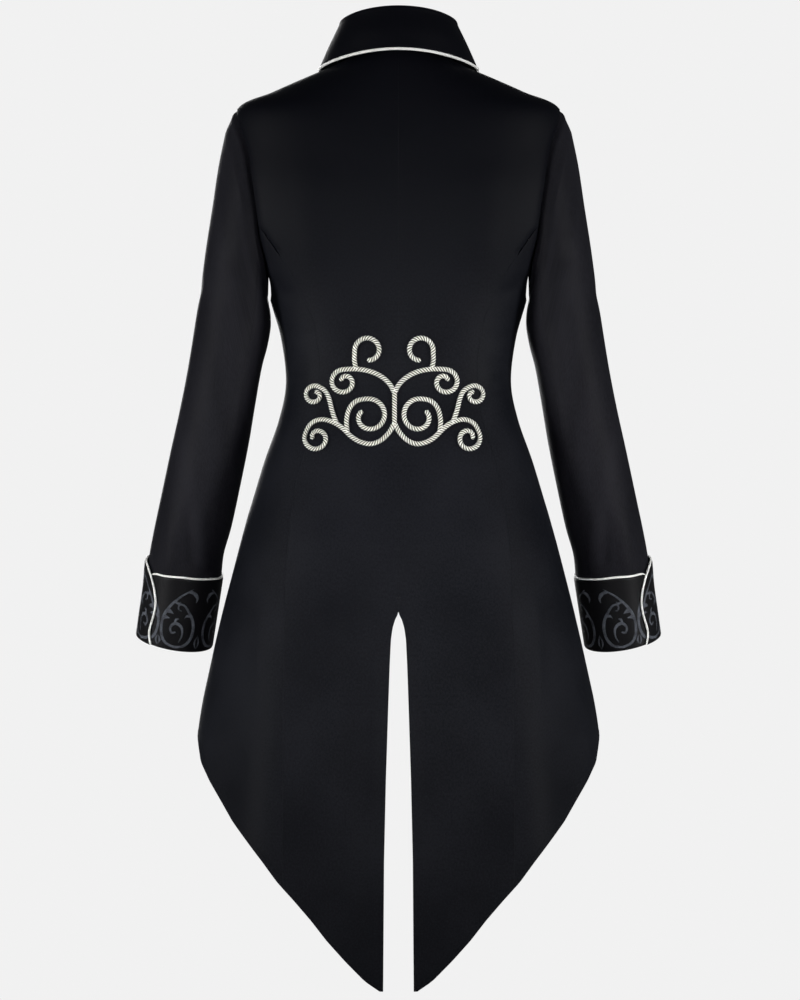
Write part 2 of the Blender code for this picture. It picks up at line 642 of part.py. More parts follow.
def build_braid(coat, grid):
    half = 0.5 * BRAID_WIDTH
    section = ((-0.9 * half, 0.5), (0.9 * half, 0.5), (half, 0.55 * BRAID_HEIGHT), (0, BRAID_HEIGHT + 0.4),
               (-half, 0.55 * BRAID_HEIGHT))

    def lay(name, flat):
        path = [on_back(grid, x, z) for x, z in flat]
        ups = []
        for x, z in flat:
            across = on_back(grid, x + 6, z) - on_back(grid, x - 6, z)
            down = on_back(grid, x, z - 8) - on_back(grid, x, z + 8)
            normal = unit(np.cross(across, down))
            ups.append(normal if normal[1] > 0 else -normal)
        coat.add(name, "braid", *tube_mesh(path, ups, section))

    lay("braid_stem", [(STEM_X, STEM_Z + STEM_HALF * share) for share in (1, 0.34, -0.34, -1)])
    for strand, numbers in STRANDS.items():
        curve = strand_curve(*numbers)
        for name, side in (("left", 1), ("right", -1)):
            lay(f"braid_{strand}_{name}", [(STEM_X + side * out, STEM_Z + up) for out, up in curve])


def build_buttons(coat):
    for number, height in enumerate(BUTTON_HEIGHTS, 1):
        level = solve(lambda level: body_point(math.pi, level)[2] - height, 0, len(BODY_ROWS) - 1)
        point, normal = body_point(math.pi, level), body_normal(math.pi, level)
        across = np.array((1.0, 0, 0))
        rise = np.cross(normal, across)
        profile = ((0.9, 0.0), (1.0, 0.3), (1.0, 0.75), (0.86, 1.0), (0.6, 0.72))
        vertices, faces = [], []
        for share, lift in profile:
            for index in range(14):
                turn = 2 * math.pi * index / 14
                flat = (across * math.cos(turn) + rise * math.sin(turn)) * BUTTON_RADIUS * share
                vertices.append(point + normal * (LAP_RISE + 0.5 + BUTTON_HEIGHT * lift) + flat)
        for ring in range(len(profile) - 1):
            for index in range(14):
                after = (index + 1) % 14
                faces.append((ring * 14 + index, ring * 14 + after, ring * 14 + 14 + after, ring * 14 + 14 + index))
        faces.append(tuple(range(14)))
        faces.append(tuple(range(len(vertices) - 14, len(vertices))))
        coat.add(f"button_{number}", "button", vertices, faces)


def main():
    coat = Coat()
    rows, normals, slants = make_armhole()
    grid = build_body(coat, slants)
    build_sleeves(coat, rows, normals, slants)
    build_cuffs(coat)
    build_collar(coat)
    build_braid(coat, grid)
    build_buttons(coat)


main()
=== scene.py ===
"""An embroidered tailcoat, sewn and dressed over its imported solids, for Blender 4.5.

The tables are in millimetres and the scene is in metres. +Z is up and the front faces -Y, so the wearer's left is +X.
"""

import logging
import math
from dataclasses import dataclass, field
from enum import Enum

import bmesh
import bpy
import numpy as np
from mathutils import Matrix, Vector


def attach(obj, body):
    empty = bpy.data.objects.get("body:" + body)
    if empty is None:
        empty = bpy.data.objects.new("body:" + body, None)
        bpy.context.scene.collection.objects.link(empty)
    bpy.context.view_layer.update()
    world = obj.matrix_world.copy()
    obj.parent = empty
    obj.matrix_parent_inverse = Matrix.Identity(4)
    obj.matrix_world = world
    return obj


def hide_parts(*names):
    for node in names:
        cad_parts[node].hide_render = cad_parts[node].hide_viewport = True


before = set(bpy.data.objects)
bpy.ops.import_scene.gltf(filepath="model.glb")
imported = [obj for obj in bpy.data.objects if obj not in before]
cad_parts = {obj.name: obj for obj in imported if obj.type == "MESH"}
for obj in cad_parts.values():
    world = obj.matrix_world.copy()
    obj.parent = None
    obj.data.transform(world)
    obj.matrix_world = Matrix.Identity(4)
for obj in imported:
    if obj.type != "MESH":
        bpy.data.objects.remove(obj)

MM = 0.001
log = logging.getLogger("tailcoat")

# Body sections: height at the side, back and front, half width behind and before the side, reach to the back and to
# the front, centre, squareness.
YOKE_ROWS = (
    (1, 20, -75, 72, 72, 68, 62, 8, 2.0),
    (-13, -8, -100, 108, 108, 82, 82, 5, 2.1),
    (-30, -42, -125, 147, 147, 93, 97, 3, 2.3),
    (-49, -80, -150, 187, 187, 100, 107, 2, 2.4),
    (-95, -125, -180, 194, 180, 104, 114, 2, 2.4),
    (-141, -165, -208, 198, 172, 105, 120, 2, 2.4),
    (-190, -205, -235, 189, 164, 103, 124, 2, 2.4),
    (-235, -240, -255, 165, 156, 100, 124, 2, 2.4),
)
# Level sections below the underarm: height, half width, reach to the back, reach to the front.
LOWER_ROWS = (
    (-270, 148.5, 97, 121), (-315, 136, 92, 112), (-365, 130.5, 90, 104), (-408, 138.6, 97, 108),
    (-455, 155, 109, 116), (-501, 169, 121, 124), (-547, 183, 132, 130), (-594, 195.5, 140, 134),
    (-640, 207, 147, 138), (-687, 217.5, 153, 141), (-733, 227, 158, 143), (-775, 233, 162, 145),
    (-842, 241, 168, 147), (-907, 247, 174, 149), (-971, 252, 179, 150), (-1050, 257, 185, 151),
)
# Armhole: height and depth of its middle, half its height, and its reach behind and before.
ARMHOLE_HEIGHT, ARMHOLE_DEPTH, ARMHOLE_HALF, ARMHOLE_BACK, ARMHOLE_FRONT = -159.5, 2, 110.5, 66, 60
# Sleeve sections: outer point x and z, inner point x and z, centre, reach behind, reach before, tilt.
SLEEVE_ROWS = (
    (200.5, -76, 149.6, -275, 3, 67, 62, 0), (208.5, -115, 148.6, -282, 4, 65, 61, 0),
    (215.5, -162, 147.9, -291, 5, 62, 60, 0), (222.5, -207, 148.2, -303, 6, 59, 58, 0),
    (229.0, -254, 152.0, -324, 6, 56, 56, 1), (236.5, -303, 158.5, -349, 6, 54, 54, 3),
    (244.3, -350, 166.0, -391, 4, 52, 52, 6), (253.5, -396, 173.2, -434, 1, 50.5, 50.5, 9),
    (264.5, -444, 183.0, -482, -5, 49.5, 49.5, 11), (275.5, -493, 194.0, -531, -15, 48.5, 48.5, 12),
    (285.5, -537, 203.5, -563, -26, 47.5, 47.5, 13), (291.5, -568, 207.0, -589, -34, 46, 46, 14),
    (294.8, -600, 211.5, -617, -42, 45, 45, 14), (299.3, -629, 216.0, -644, -49, 44.5, 44.5, 14),
    (303.6, -657, 220.5, -671, -56, 44, 44, 14),
)


class Side(Enum):
    """Side of the wearer, by the sign of X."""

    LEFT = 1
    RIGHT = -1

    @property
    def word(self) -> str:
        """The side as node names have it."""
        return self.name.lower()


class Face(Enum):
    """Face of the coat that a fold is drawn over: the two axes it is drawn in and the way it looks."""

    BACK = (0, 2, 1, 1)
    FRONT = (0, 2, 1, -1)
    OUT_LEFT = (1, 2, 0, 1)
    OUT_RIGHT = (1, 2, 0, -1)


def ease(value: np.ndarray | float) -> np.ndarray:
    """A smooth step from 0 to 1."""
    value = np.clip(value, 0.0, 1.0)
    return value * value * (3 - 2 * value)


def unit(vectors: np.ndarray) -> np.ndarray:
    """Vectors brought to a length of 1."""
    return vectors / np.linalg.norm(vectors, axis=-1, keepdims=True)


def run(points: np.ndarray, axis: int = 0) -> np.ndarray:
    """Distance along lines of points.

    Args:
        points: Points of one line, or a grid of them.
        axis: The way that the lines run.

    Returns:
        One distance for each point, from nought.
    """
    steps = np.cumsum(np.linalg.norm(np.diff(points, axis=axis), axis=-1), axis=axis)
    start = np.zeros([1 if index == axis else size for index, size in enumerate(steps.shape)])
    return np.concatenate((start, steps), axis=axis)


def smoothed(points: np.ndarray, passes: int) -> np.ndarray:
    """Smooth a line of points but for the two at either end.

    Args:
        points: Points of the line.
        passes: Times that each is averaged over five.

    Returns:
        The smoothed points.
    """
    points = points.copy()
    for _ in range(passes):
        points[2:-2] = (points[:-4] + points[1:-3] + points[2:-2] + points[3:-1] + points[4:]) / 5
    return points


def spline(table: np.ndarray, position: float) -> np.ndarray:
    """All columns of a table at a row position, on a smooth curve through its rows.

    Args:
        table: Rows of numbers.
        position: Row position, which may lie between rows.

    Returns:
        One row.
    """
    last = len(table) - 1
    position = min(max(position, 0.0), float(last))
    low = min(int(position), last - 1)
    part = position - low
    before, here = table[max(low - 1, 0)], table[low]
    after, beyond = table[low + 1], table[min(low + 2, last)]
    return 0.5 * (2 * here + (after - before) * part + (2 * before - 5 * here + 4 * after - beyond) * part**2
                  + (3 * here - before - 3 * after + beyond) * part**3)


def resample(points: np.ndarray, spacing: float) -> np.ndarray:
    """A smooth curve through points, at even steps.

    Args:
        points: Places that the curve goes through, one a row.
        spacing: Step along the curve.

    Returns:
        Points on the curve.
    """
    fine = np.array([spline(points, at) for at in np.linspace(0, len(points) - 1, 40 * len(points))])
    lengths = run(fine)
    marks = np.linspace(0, lengths[-1], max(3, round(lengths[-1] / spacing) + 1))
    return np.column_stack([np.interp(marks, lengths, fine[:, axis]) for axis in range(fine.shape[1])])


def normals_of(grid: np.ndarray, axis: np.ndarray) -> np.ndarray:
    """Outward unit normals of a grid of points.

    Args:
        grid: Rows of points.
        axis: Points inside the form that the normals turn away from.

    Returns:
        One normal for each point.
    """
    normals = np.cross(np.gradient(grid, axis=1), np.gradient(grid, axis=0))
    normals /= np.maximum(np.linalg.norm(normals, axis=2, keepdims=True), 1e-9)
    return normals * (1 if np.sum(normals * (grid - axis)) > 0 else -1)


def beside(flat: np.ndarray, start: np.ndarray, end: np.ndarray) -> tuple[np.ndarray, np.ndarray]:
    """Place flat points beside a straight leg.

    Args:
        flat: The points.
        start: Start of the leg.
        end: End of the leg.

    Returns:
        Their distances from it, and the share of it that each is nearest to.
    """
    leg = end - start
    share = np.clip((flat - start) @ leg / (leg @ leg), 0, 1)
    return np.linalg.norm(flat - start - share[:, None] * leg, axis=1), share


def spread(length: float, count: int) -> np.ndarray:
    """Shares of a row's columns: close together by both edges, where the cloth turns in to its seam.

    Args:
        length: Length of the row.
        count: Number of columns.

    Returns:
        Rising shares from 0 to 1.
    """
    edge = np.array((0.0, 0.5, 1.1, 1.9, 3.0)) * min(1.0, length / 40)
    middle = np.linspace(edge[-1], max(length - edge[-1], edge[-1]), count - 8)[1:-1]
    return np.concatenate((edge, middle, length - edge[::-1])) / max(length, 1e-6)


@dataclass(frozen=True)
class Fold:
    """One soft ridge of the cloth, or a trough where its height is negative, in millimetres."""

    face: Face
    path: tuple[tuple[float, float], ...]
    width: float
    height: float

    def rise(self, points: np.ndarray, normals: np.ndarray) -> np.ndarray:
        """How far the fold lifts the cloth at some points.

        Args:
            points: Places on the cloth.
            normals: The cloth's normals there.

        Returns:
            One lift for each point.
        """
        across, up, out, sign = self.face.value
        flat = points[:, (across, up)]
        best, along = np.full(len(flat), 1e9), np.zeros(len(flat))
        count = len(self.path) - 1
        for index in range(count):
            away, share = beside(flat, *np.array(self.path[index:index + 2], float))
            closer = away < best
            best, along = np.where(closer, away, best), np.where(closer, (index + share) / count, along)
        fade = ease(np.minimum(along, 1 - along) / 0.3 + 0.12)
        facing = ease((normals[:, out] * sign - 0.05) / 0.3)
        return self.height * np.exp(-((best / self.width) ** 2)) * fade * facing


def folds_of(*groups: tuple) -> tuple[Fold, ...]:
    """Folds from groups of a face and then rows of three places, a width and a height."""
    return tuple(Fold(face, (row[0:2], row[2:4], row[4:6]), *row[6:]) for face, *rows in groups for row in rows)


class Form:
    """The worn form of the body, by its turn from the centre back and its level in the sections."""

    def __init__(self) -> None:
        """Lay out the sections and tables to look places up in."""
        self.table = np.array(YOKE_ROWS + tuple((z, z, z, w, w, b, f, 0, 2.35) for z, w, b, f in LOWER_ROWS), float)
        self.underarm = 8
        self.levels = np.linspace(self.underarm - 0.01, len(self.table) - 1, 1500)
        self.heights = np.array([spline(self.table, level)[0] for level in self.levels])
        self.behind = np.radians(np.linspace(-20, 90, 700))
        self.before = np.radians(np.linspace(90, 200, 700))

    def ring(self, turns: np.ndarray, level: float) -> np.ndarray:
        """Points of one section.

        Args:
            turns: Turns from the centre back.
            level: Level of the section.

        Returns:
            One point for each turn.
        """
        z_side, z_back, z_front, half_back, half_front, back, front, centre, square = spline(self.table, level)
        sine, cosine = np.sin(turns), np.cos(turns)
        behind = cosine > 0
        half = np.where(behind, half_back, half_front)
        depth = np.where(behind, back - centre, front + centre)
        radius = ((np.abs(sine) / half) ** square + (np.abs(cosine) / depth) ** square) ** (-1 / square)
        height = z_side + (np.where(behind, z_back, z_front) - z_side) * cosine**2
        turn = np.degrees(np.abs(turns))
        hang = ease((-540 - height) / 330)
        radius = radius + hang * (6 * np.exp(-(((turn - 46) / 9) ** 2)) - 5 * np.exp(-(((turn - 64) / 9) ** 2)))
        return np.column_stack((radius * sine, centre + radius * cosine, height))

    def level_at(self, height: float) -> float:
        """Level of the flat section at a height."""
        return float(np.interp(-height, -self.heights, self.levels))

    def turn_at(self, distance: float, level: float, front: bool = False) -> float:
        """Turn at which a section is a distance from the centre line.

        Args:
            distance: The distance.
            level: Level of the section.
            front: Whether it is found in front.

        Returns:
            The turn.
        """
        turns = self.before if front else self.behind
        reach = self.ring(turns, level)[:, 0]
        return float(np.interp(-distance, -reach, turns) if front else np.interp(distance, reach, turns))

    def seam_turn(self, table: tuple[tuple[float, float], ...], level: float) -> float:
        """Turn at which a section meets a seam given by heights and distances."""
        points = self.ring(self.behind, level)
        return float(np.interp(0, points[:, 0] - read_edge(table, points[:, 2]), self.behind))

    def armhole(self, steps: np.ndarray, front: bool) -> list[tuple[float, float]]:
        """Places on the armhole.

        Args:
            steps: Steps from the shoulder tip, 0, to the underarm, 10.
            front: Whether they lie in front.

        Returns:
            A turn and a level for each step.
        """
        levels = np.linspace(3, self.underarm, 160)
        turns = self.before if front else self.behind
        rings = [self.ring(turns, level) for level in levels]
        places = []
        for step in steps:
            around = math.pi * step / 10
            height = ARMHOLE_HEIGHT + ARMHOLE_HALF * math.cos(around)
            depth = ARMHOLE_DEPTH + (-ARMHOLE_FRONT if front else ARMHOLE_BACK) * math.sin(around)
            if step <= 0 or step >= 10:
                places.append((math.pi / 2, 3.0 if step <= 0 else float(self.underarm)))
                continue
            found = [float(np.interp(-depth, -ring[:, 1], turns)) for ring in rings]
            drops = [float(np.interp(turn, turns, ring[:, 2])) for turn, ring in zip(found, rings)]
            level = float(np.interp(-height, -np.array(drops), levels))
            places.append((float(np.interp(level, levels, found)), level))
        return places

    def back_depth(self, across: float, height: float) -> float:
        """How far back the coat's back stands at a distance from the centre line and a height."""
        points = self.ring(self.behind, self.level_at(height))
        return float(np.interp(abs(across), points[:, 0], points[:, 1]))


def read_edge(table: tuple[tuple[float, float], ...], height: np.ndarray | float) -> np.ndarray:
    """Distance of an edge from the centre line at a height."""
    return np.interp(height, [row[0] for row in reversed(table)], [row[1] for row in reversed(table)])


def sleeve_points(turns: np.ndarray, position: float) -> np.ndarray:
    """Points of one section of the sleeve.

    Args:
        turns: Turns from the outer line towards the back.
        position: Place in the sleeve's rows.

    Returns:
        One point for each turn.
    """
    outer_x, outer_z, inner_x, inner_z, centre, back, front, tilt = spline(np.array(SLEEVE_ROWS, float), position)
    cosine, sine = np.cos(turns), np.sin(turns)
    reach = np.where(sine > 0, back, front) * sine
    lean = math.radians(tilt)
    return np.column_stack((
        0.5 * (outer_x + inner_x) + 0.5 * (outer_x - inner_x) * cosine,
        centre + reach * math.cos(lean),
        0.5 * (outer_z + inner_z) + 0.5 * (outer_z - inner_z) * cosine - reach * math.sin(lean),
    ))


class Nodes:
    """A material's node tree with short calls to fill it."""

    def __init__(self, name: str, colour: tuple[float, float, float], roughness: float) -> None:
        """Start a material with one Principled shader.

        Args:
            name: Name of the material.
            colour: Base colour.
            roughness: Base roughness.
        """
        self.material = bpy.data.materials.new(name)
        self.material.use_nodes = True
        self.tree = self.material.node_tree
        self.shader = self.tree.nodes["Principled BSDF"]
        self.shader.inputs["Base Color"].default_value = (*colour, 1)
        self.shader.inputs["Roughness"].default_value = roughness
        self.material.diffuse_color = (*colour, 1)

    def add(self, kind: str, **values: object) -> bpy.types.Node:
        """Add a node.

        Args:
            kind: Type of the node.
            values: Its properties or sockets, by name.

        Returns:
            The node.
        """
        node = self.tree.nodes.new(kind)
        for key, value in values.items():
            if hasattr(node, key):
                setattr(node, key, value)
            else:
                node.inputs[key.replace("_", " ")].default_value = value
        return node

    def join(self, start: bpy.types.NodeSocket, end: bpy.types.NodeSocket) -> None:
        """Link two sockets."""
        self.tree.links.new(start, end)

    def places(self, scale: tuple[float, float, float], cloth: bool = True) -> bpy.types.NodeSocket:
        """Coordinates for a texture.

        Args:
            scale: Scale a metre.
            cloth: Whether they lie along the cloth, or else in space.

        Returns:
            The coordinates.
        """
        source = self.add("ShaderNodeUVMap", uv_map="cut").outputs[0] if cloth else None
        if source is None:
            source = self.add("ShaderNodeTexCoord").outputs["Object"]
        mapping = self.add("ShaderNodeMapping", Scale=scale)
        self.join(source, mapping.inputs["Vector"])
        return mapping.outputs[0]

    def noise(self, scale: tuple[float, float, float], detail: float = 3.0, roughness: float = 0.55,
              cloth: bool = True) -> bpy.types.NodeSocket:
        """Soft noise.

        Args:
            scale: Scale a metre.
            detail: Number of finer layers.
            roughness: Strength of the finer layers.
            cloth: Whether it lies along the cloth, or else in space.

        Returns:
            The noise.
        """
        where = self.places(scale, cloth)
        node = self.add("ShaderNodeTexNoise", Scale=1.0, Detail=detail, Roughness=roughness)
        self.join(where, node.inputs["Vector"])
        return node.outputs[0]

    def span(self, value: bpy.types.NodeSocket, low: float, high: float, first: float, last: float,
             smooth: bool = False) -> bpy.types.NodeSocket:
        """Take a value from one range to another.

        Args:
            value: The value.
            low: Start of its range.
            high: End of its range.
            first: Start of the new range.
            last: End of the new range.
            smooth: Whether it eases in and out.

        Returns:
            The new value.
        """
        node = self.add("ShaderNodeMapRange", interpolation_type="SMOOTHSTEP" if smooth else "LINEAR")
        for index, number in enumerate((low, high, first, last), 1):
            node.inputs[index].default_value = number
        self.join(value, node.inputs[0])
        return node.outputs[0]

    def math(self, operation: str, first: bpy.types.NodeSocket, second: bpy.types.NodeSocket | float
             ) -> bpy.types.NodeSocket:
        """One sum of two values.

        Args:
            operation: Name of the sum.
            first: First value.
            second: Second value.

        Returns:
            The result.
        """
        node = self.add("ShaderNodeMath", operation=operation)
        self.join(first, node.inputs[0])
        if isinstance(second, (int, float)):
            node.inputs[1].default_value = second
        else:
            self.join(second, node.inputs[1])
        return node.outputs[0]

    def blend(self, share: bpy.types.NodeSocket, first: tuple[float, float, float] | bpy.types.NodeSocket,
              last: tuple[float, float, float] | bpy.types.NodeSocket) -> bpy.types.NodeSocket:
        """Mix two colours.

        Args:
            share: Share of the last.
            first: First colour.
            last: Last colour.

        Returns:
            The mix.
        """
        node = self.add("ShaderNodeMix", data_type="RGBA")
        self.join(share, node.inputs[0])
        for colour, socket in ((first, node.inputs[6]), (last, node.inputs[7])):
            if isinstance(colour, tuple):
                socket.default_value = (*colour, 1)
            else:
                self.join(colour, socket)
        return node.outputs[2]

    def bump(self, height: bpy.types.NodeSocket, depth: float, strength: float = 1.0,
             under: bpy.types.NodeSocket | None = None) -> bpy.types.NodeSocket:
        """A bump of the surface.

        Args:
            height: Height of the bump.
            depth: Its depth in metres.
            strength: Its strength.
            under: Bump that it lies over, if any.

        Returns:
            The bumped normal.
        """
        node = self.add("ShaderNodeBump", Strength=strength, Distance=depth)
        self.join(height, node.inputs["Height"])
        if under is not None:
            self.join(under, node.inputs["Normal"])
        return node.outputs[0]

    def finish(self, colour: bpy.types.NodeSocket | None = None, roughness: bpy.types.NodeSocket | None = None,
               normal: bpy.types.NodeSocket | None = None, **constants: object) -> bpy.types.Material:
        """Link the shader's sockets and set its constants.

        Args:
            colour: Base colour.
            roughness: Base roughness.
            normal: Bumped normal.
            constants: Numbers and colours by socket name.

        Returns:
            The material.
        """
        for socket, name in ((colour, "Base Color"), (roughness, "Roughness"), (normal, "Normal")):
            if socket is not None:
                self.join(socket, self.shader.inputs[name])
        for key, value in constants.items():
            self.shader.inputs[key.replace("_", " ")].default_value = value
        return self.material


@dataclass(frozen=True)
class CoatCloth:
    """Near-black matte satin with a fine twill, with painted shade that darkens it towards the shoulders of the body.
    """

    name: str = "coat_satin"
    colour: tuple[float, float, float] = (0.0072, 0.0078, 0.0106)
    deep: tuple[float, float, float] = (0.0014, 0.0018, 0.0034)
    # Colour of the painted shade over the shoulders, and how much of it shows there.
    shoulder: tuple[float, float, float] = (0.0008, 0.0010, 0.0026)
    shoulder_shade_share: float = 0.90
    roughness: float = 0.6
    twill: float = 0.0007

    def make(self) -> bpy.types.Material:
        """Make the cloth's material.

        Returns:
            The material.
        """
        nodes = Nodes(self.name, self.colour, self.roughness)
        broad = nodes.noise((7, 7, 7), 3)
        fleck = nodes.noise((460, 330, 330), 2, 0.8)
        tone = nodes.math("ADD", nodes.math("MULTIPLY", broad, 0.4), nodes.math("MULTIPLY", fleck, 0.6))
        colour = nodes.blend(nodes.span(tone, 0.40, 0.60, 0, 1), self.deep, self.colour)
        # Painted shade: the satin darkens with height towards the shoulders, with a soft wandering edge, standing in
        # for light that falls off over the upper back.
        height = nodes.add("ShaderNodeSeparateXYZ")
        nodes.join(nodes.places((1, 1, 1), cloth=False), height.inputs[0])
        painted_shade_and_yarn_mottle = nodes.math("ADD", height.outputs[2], nodes.span(broad, 0, 1, -0.10, 0.10))
        colour = nodes.blend(nodes.span(painted_shade_and_yarn_mottle, -0.34, -0.10, 0, self.shoulder_shade_share, True), colour, self.shoulder)
        rough = nodes.span(tone, 0.3, 0.7, self.roughness - 0.05, self.roughness + 0.07)
        rib = nodes.add("ShaderNodeTexWave", wave_type="BANDS", bands_direction="DIAGONAL", Scale=1.0,
                        Distortion=0.6, Detail=1.0)
        step = 0.5 / self.twill / math.pi
        nodes.join(nodes.places((step, step * 1.4, step)), rib.inputs["Vector"])
        fine = nodes.bump(rib.outputs["Fac"], 0.00006, 0.35)
        slack = nodes.bump(nodes.noise((45, 30, 30), 3), 0.0009, 0.45, fine)
        return nodes.finish(colour, rough, slack, Specular_IOR_Level=0.07, Sheen_Weight=0.004, Sheen_Roughness=0.4,
                            Sheen_Tint=(0.80, 0.82, 1.0, 1))


@dataclass(frozen=True)
class LiningSatin:
    """Smooth black lining."""

    colour: tuple[float, float, float] = (0.010, 0.010, 0.012)
    deep: tuple[float, float, float] = (0.004, 0.004, 0.005)
    pale: tuple[float, float, float] = (0.009, 0.009, 0.011)
    roughness: float = 0.38

    def make(self) -> bpy.types.Material:
        """Make the lining's material.

        Returns:
            The material.
        """
        nodes = Nodes("lining_satin", self.colour, self.roughness)
        tone = nodes.noise((30, 14, 14), 4)
        colour = nodes.blend(tone, self.deep, self.pale)
        normal = nodes.bump(nodes.noise((60, 22, 22), 4), 0.0012, 0.6)
        return nodes.finish(colour, nodes.span(tone, 0.2, 0.8, 0.36, 0.5), normal, Specular_IOR_Level=0.22)


@dataclass(frozen=True)
class CuffBrocade:
    """Black satin ground with a woven grey figure. The figure's edge is the cloth's own attribute."""

    ground: tuple[float, float, float] = (0.003, 0.003, 0.0035)
    ground_deep: tuple[float, float, float] = (0.0015, 0.0015, 0.002)
    ground_pale: tuple[float, float, float] = (0.0055, 0.0055, 0.0065)
    thread: tuple[float, float, float] = (0.092, 0.100, 0.118)
    dim: tuple[float, float, float] = (0.012, 0.013, 0.017)

    def make(self) -> bpy.types.Material:
        """Make the brocade's material.

        Returns:
            The material.
        """
        nodes = Nodes("cuff_brocade", self.ground, 0.5)
        figure = nodes.add("ShaderNodeAttribute", attribute_name="figure").outputs["Fac"]
        frayed = nodes.math("ADD", figure, nodes.span(nodes.noise((1400, 1400, 1400), 2, 0.7),
                                                     0, 1, -0.45, 0.45))
        inside = nodes.span(frayed, 0.15, -0.65, 0, 1, True)
        pick = nodes.noise((420, 1700, 420), 3, 0.7)
        painted_shade_and_yarn_mottle = nodes.math("ADD", nodes.math("MULTIPLY", pick, 0.5),
                          nodes.math("MULTIPLY", nodes.noise((75, 75, 75), 2), 0.5))
        yarn = nodes.blend(nodes.span(painted_shade_and_yarn_mottle, 0.36, 0.62, 0, 1), self.dim, self.thread)
        satin = nodes.blend(nodes.noise((700, 1600, 700), 3, 0.7), self.ground_deep, self.ground_pale)
        colour = nodes.blend(inside, satin, yarn)
        raised = nodes.bump(inside, 0.00035, 0.8)
        normal = nodes.bump(pick, 0.00018, 0.7, raised)
        return nodes.finish(colour, nodes.span(inside, 0, 1, 0.46, 0.6), normal, Specular_IOR_Level=0.10,
                            Sheen_Weight=0.004, Sheen_Roughness=0.4)


@dataclass(frozen=True)
class PipingCord:
    """Smooth white satin over a cord."""

    colour: tuple[float, float, float] = (0.90, 0.90, 0.88)
    dim: tuple[float, float, float] = (0.80, 0.80, 0.77)

    def make(self) -> bpy.types.Material:
        """Make the piping's material.

        Returns:
            The material.
        """
        nodes = Nodes("piping_satin", self.colour, 0.42)
        tone = nodes.noise((160, 160, 160), 3, cloth=False)
        thread = nodes.noise((500, 3000, 500), 2, 0.7)
        colour = nodes.blend(nodes.span(tone, 0.3, 0.7, 0, 1), self.dim, self.colour)
        normal = nodes.bump(thread, 0.00012, 0.5)
        return nodes.finish(colour, nodes.span(thread, 0.2, 0.8, 0.36, 0.5), normal, Sheen_Weight=0.12)


@dataclass(frozen=True)
class BraidYarn:
    """Ivory cord with a silver-green cast, with painted highlight on the crowns of its plies and painted shade down
    their flanks, in the grooves where they meet and on the cord's underside.
    """

    # Colours of the painted highlight on the ply crowns, the painted shade on their flanks, and the painted shade in
    # the grooves and under the cord.
    crown: tuple[float, float, float] = (0.95, 0.95, 0.90)
    flank: tuple[float, float, float] = (0.52, 0.52, 0.40)
    groove_shade: tuple[float, float, float] = (0.020, 0.021, 0.012)

    def make(self) -> bpy.types.Material:
        """Make the braid's material.

        Returns:
            The material.
        """
        nodes = Nodes("braid_yarn", self.crown, 0.5)
        ply = nodes.add("ShaderNodeAttribute", attribute_name="ply").outputs["Fac"]
        strand = nodes.noise((1500, 380, 1500), 3, 0.65)
        # Painted highlight and shade by the ply attribute: lighter on each ply's crown, darker down its flanks and in
        # the grooves.
        soft = nodes.blend(nodes.span(ply, 0.50, 0.95, 0, 1, True), self.flank, self.crown)
        colour = nodes.blend(nodes.span(ply, 0.22, 0.66, 0, 1, True), self.groove_shade, soft)
        # Painted shade on the side of the cord that faces the cloth, by the crown attribute, mixed with random strand
        # tone.
        crown = nodes.add("ShaderNodeAttribute", attribute_name="crown").outputs["Fac"]
        lit = nodes.math("MULTIPLY", nodes.span(strand, 0.25, 0.8, 0.72, 1.0),
                         nodes.span(crown, 0.1, 0.8, 0.25, 1, True))
        cord_shade_colour = nodes.blend(lit, self.groove_shade, colour)
        normal = nodes.bump(strand, 0.0003, 0.6)
        return nodes.finish(cord_shade_colour, nodes.span(strand, 0.2, 0.8, 0.42, 0.6), normal, Sheen_Weight=0.15,
                            Sheen_Roughness=0.4)


@dataclass(frozen=True)
class ButtonResin:
    """Polished black button with faint clouding."""

    colour: tuple[float, float, float] = (0.010, 0.010, 0.011)
    deep: tuple[float, float, float] = (0.005, 0.005, 0.006)
    pale: tuple[float, float, float] = (0.022, 0.021, 0.021)

    def make(self) -> bpy.types.Material:
        """Make the button's material.

        Returns:
            The material.
        """
        nodes = Nodes("button_resin", self.colour, 0.2)
        cloud = nodes.noise((220, 220, 220), 5, 0.6, cloth=False)
        colour = nodes.blend(cloud, self.deep, self.pale)
        normal = nodes.bump(nodes.noise((900, 900, 900), 2, cloth=False), 0.00004, 0.3)
        return nodes.finish(colour, nodes.span(cloud, 0.3, 0.7, 0.16, 0.32), normal)


@dataclass(frozen=True)
class SewingThread:
    """Twisted black thread."""

    colour: tuple[float, float, float] = (0.004, 0.004, 0.005)
    deep: tuple[float, float, float] = (0.002, 0.002, 0.0025)
    pale: tuple[float, float, float] = (0.007, 0.007, 0.009)

    def make(self) -> bpy.types.Material:
        """Make the thread's material.

        Returns:
            The material.
        """
        nodes = Nodes("sewing_thread", self.colour, 0.55)
        twist = nodes.noise((2400, 900, 2400), 3, 0.7, cloth=False)
        colour = nodes.blend(twist, self.deep, self.pale)
        return nodes.finish(colour, nodes.span(twist, 0.2, 0.8, 0.5, 0.7), nodes.bump(twist, 0.0001, 0.6),
                            Specular_IOR_Level=0.1)


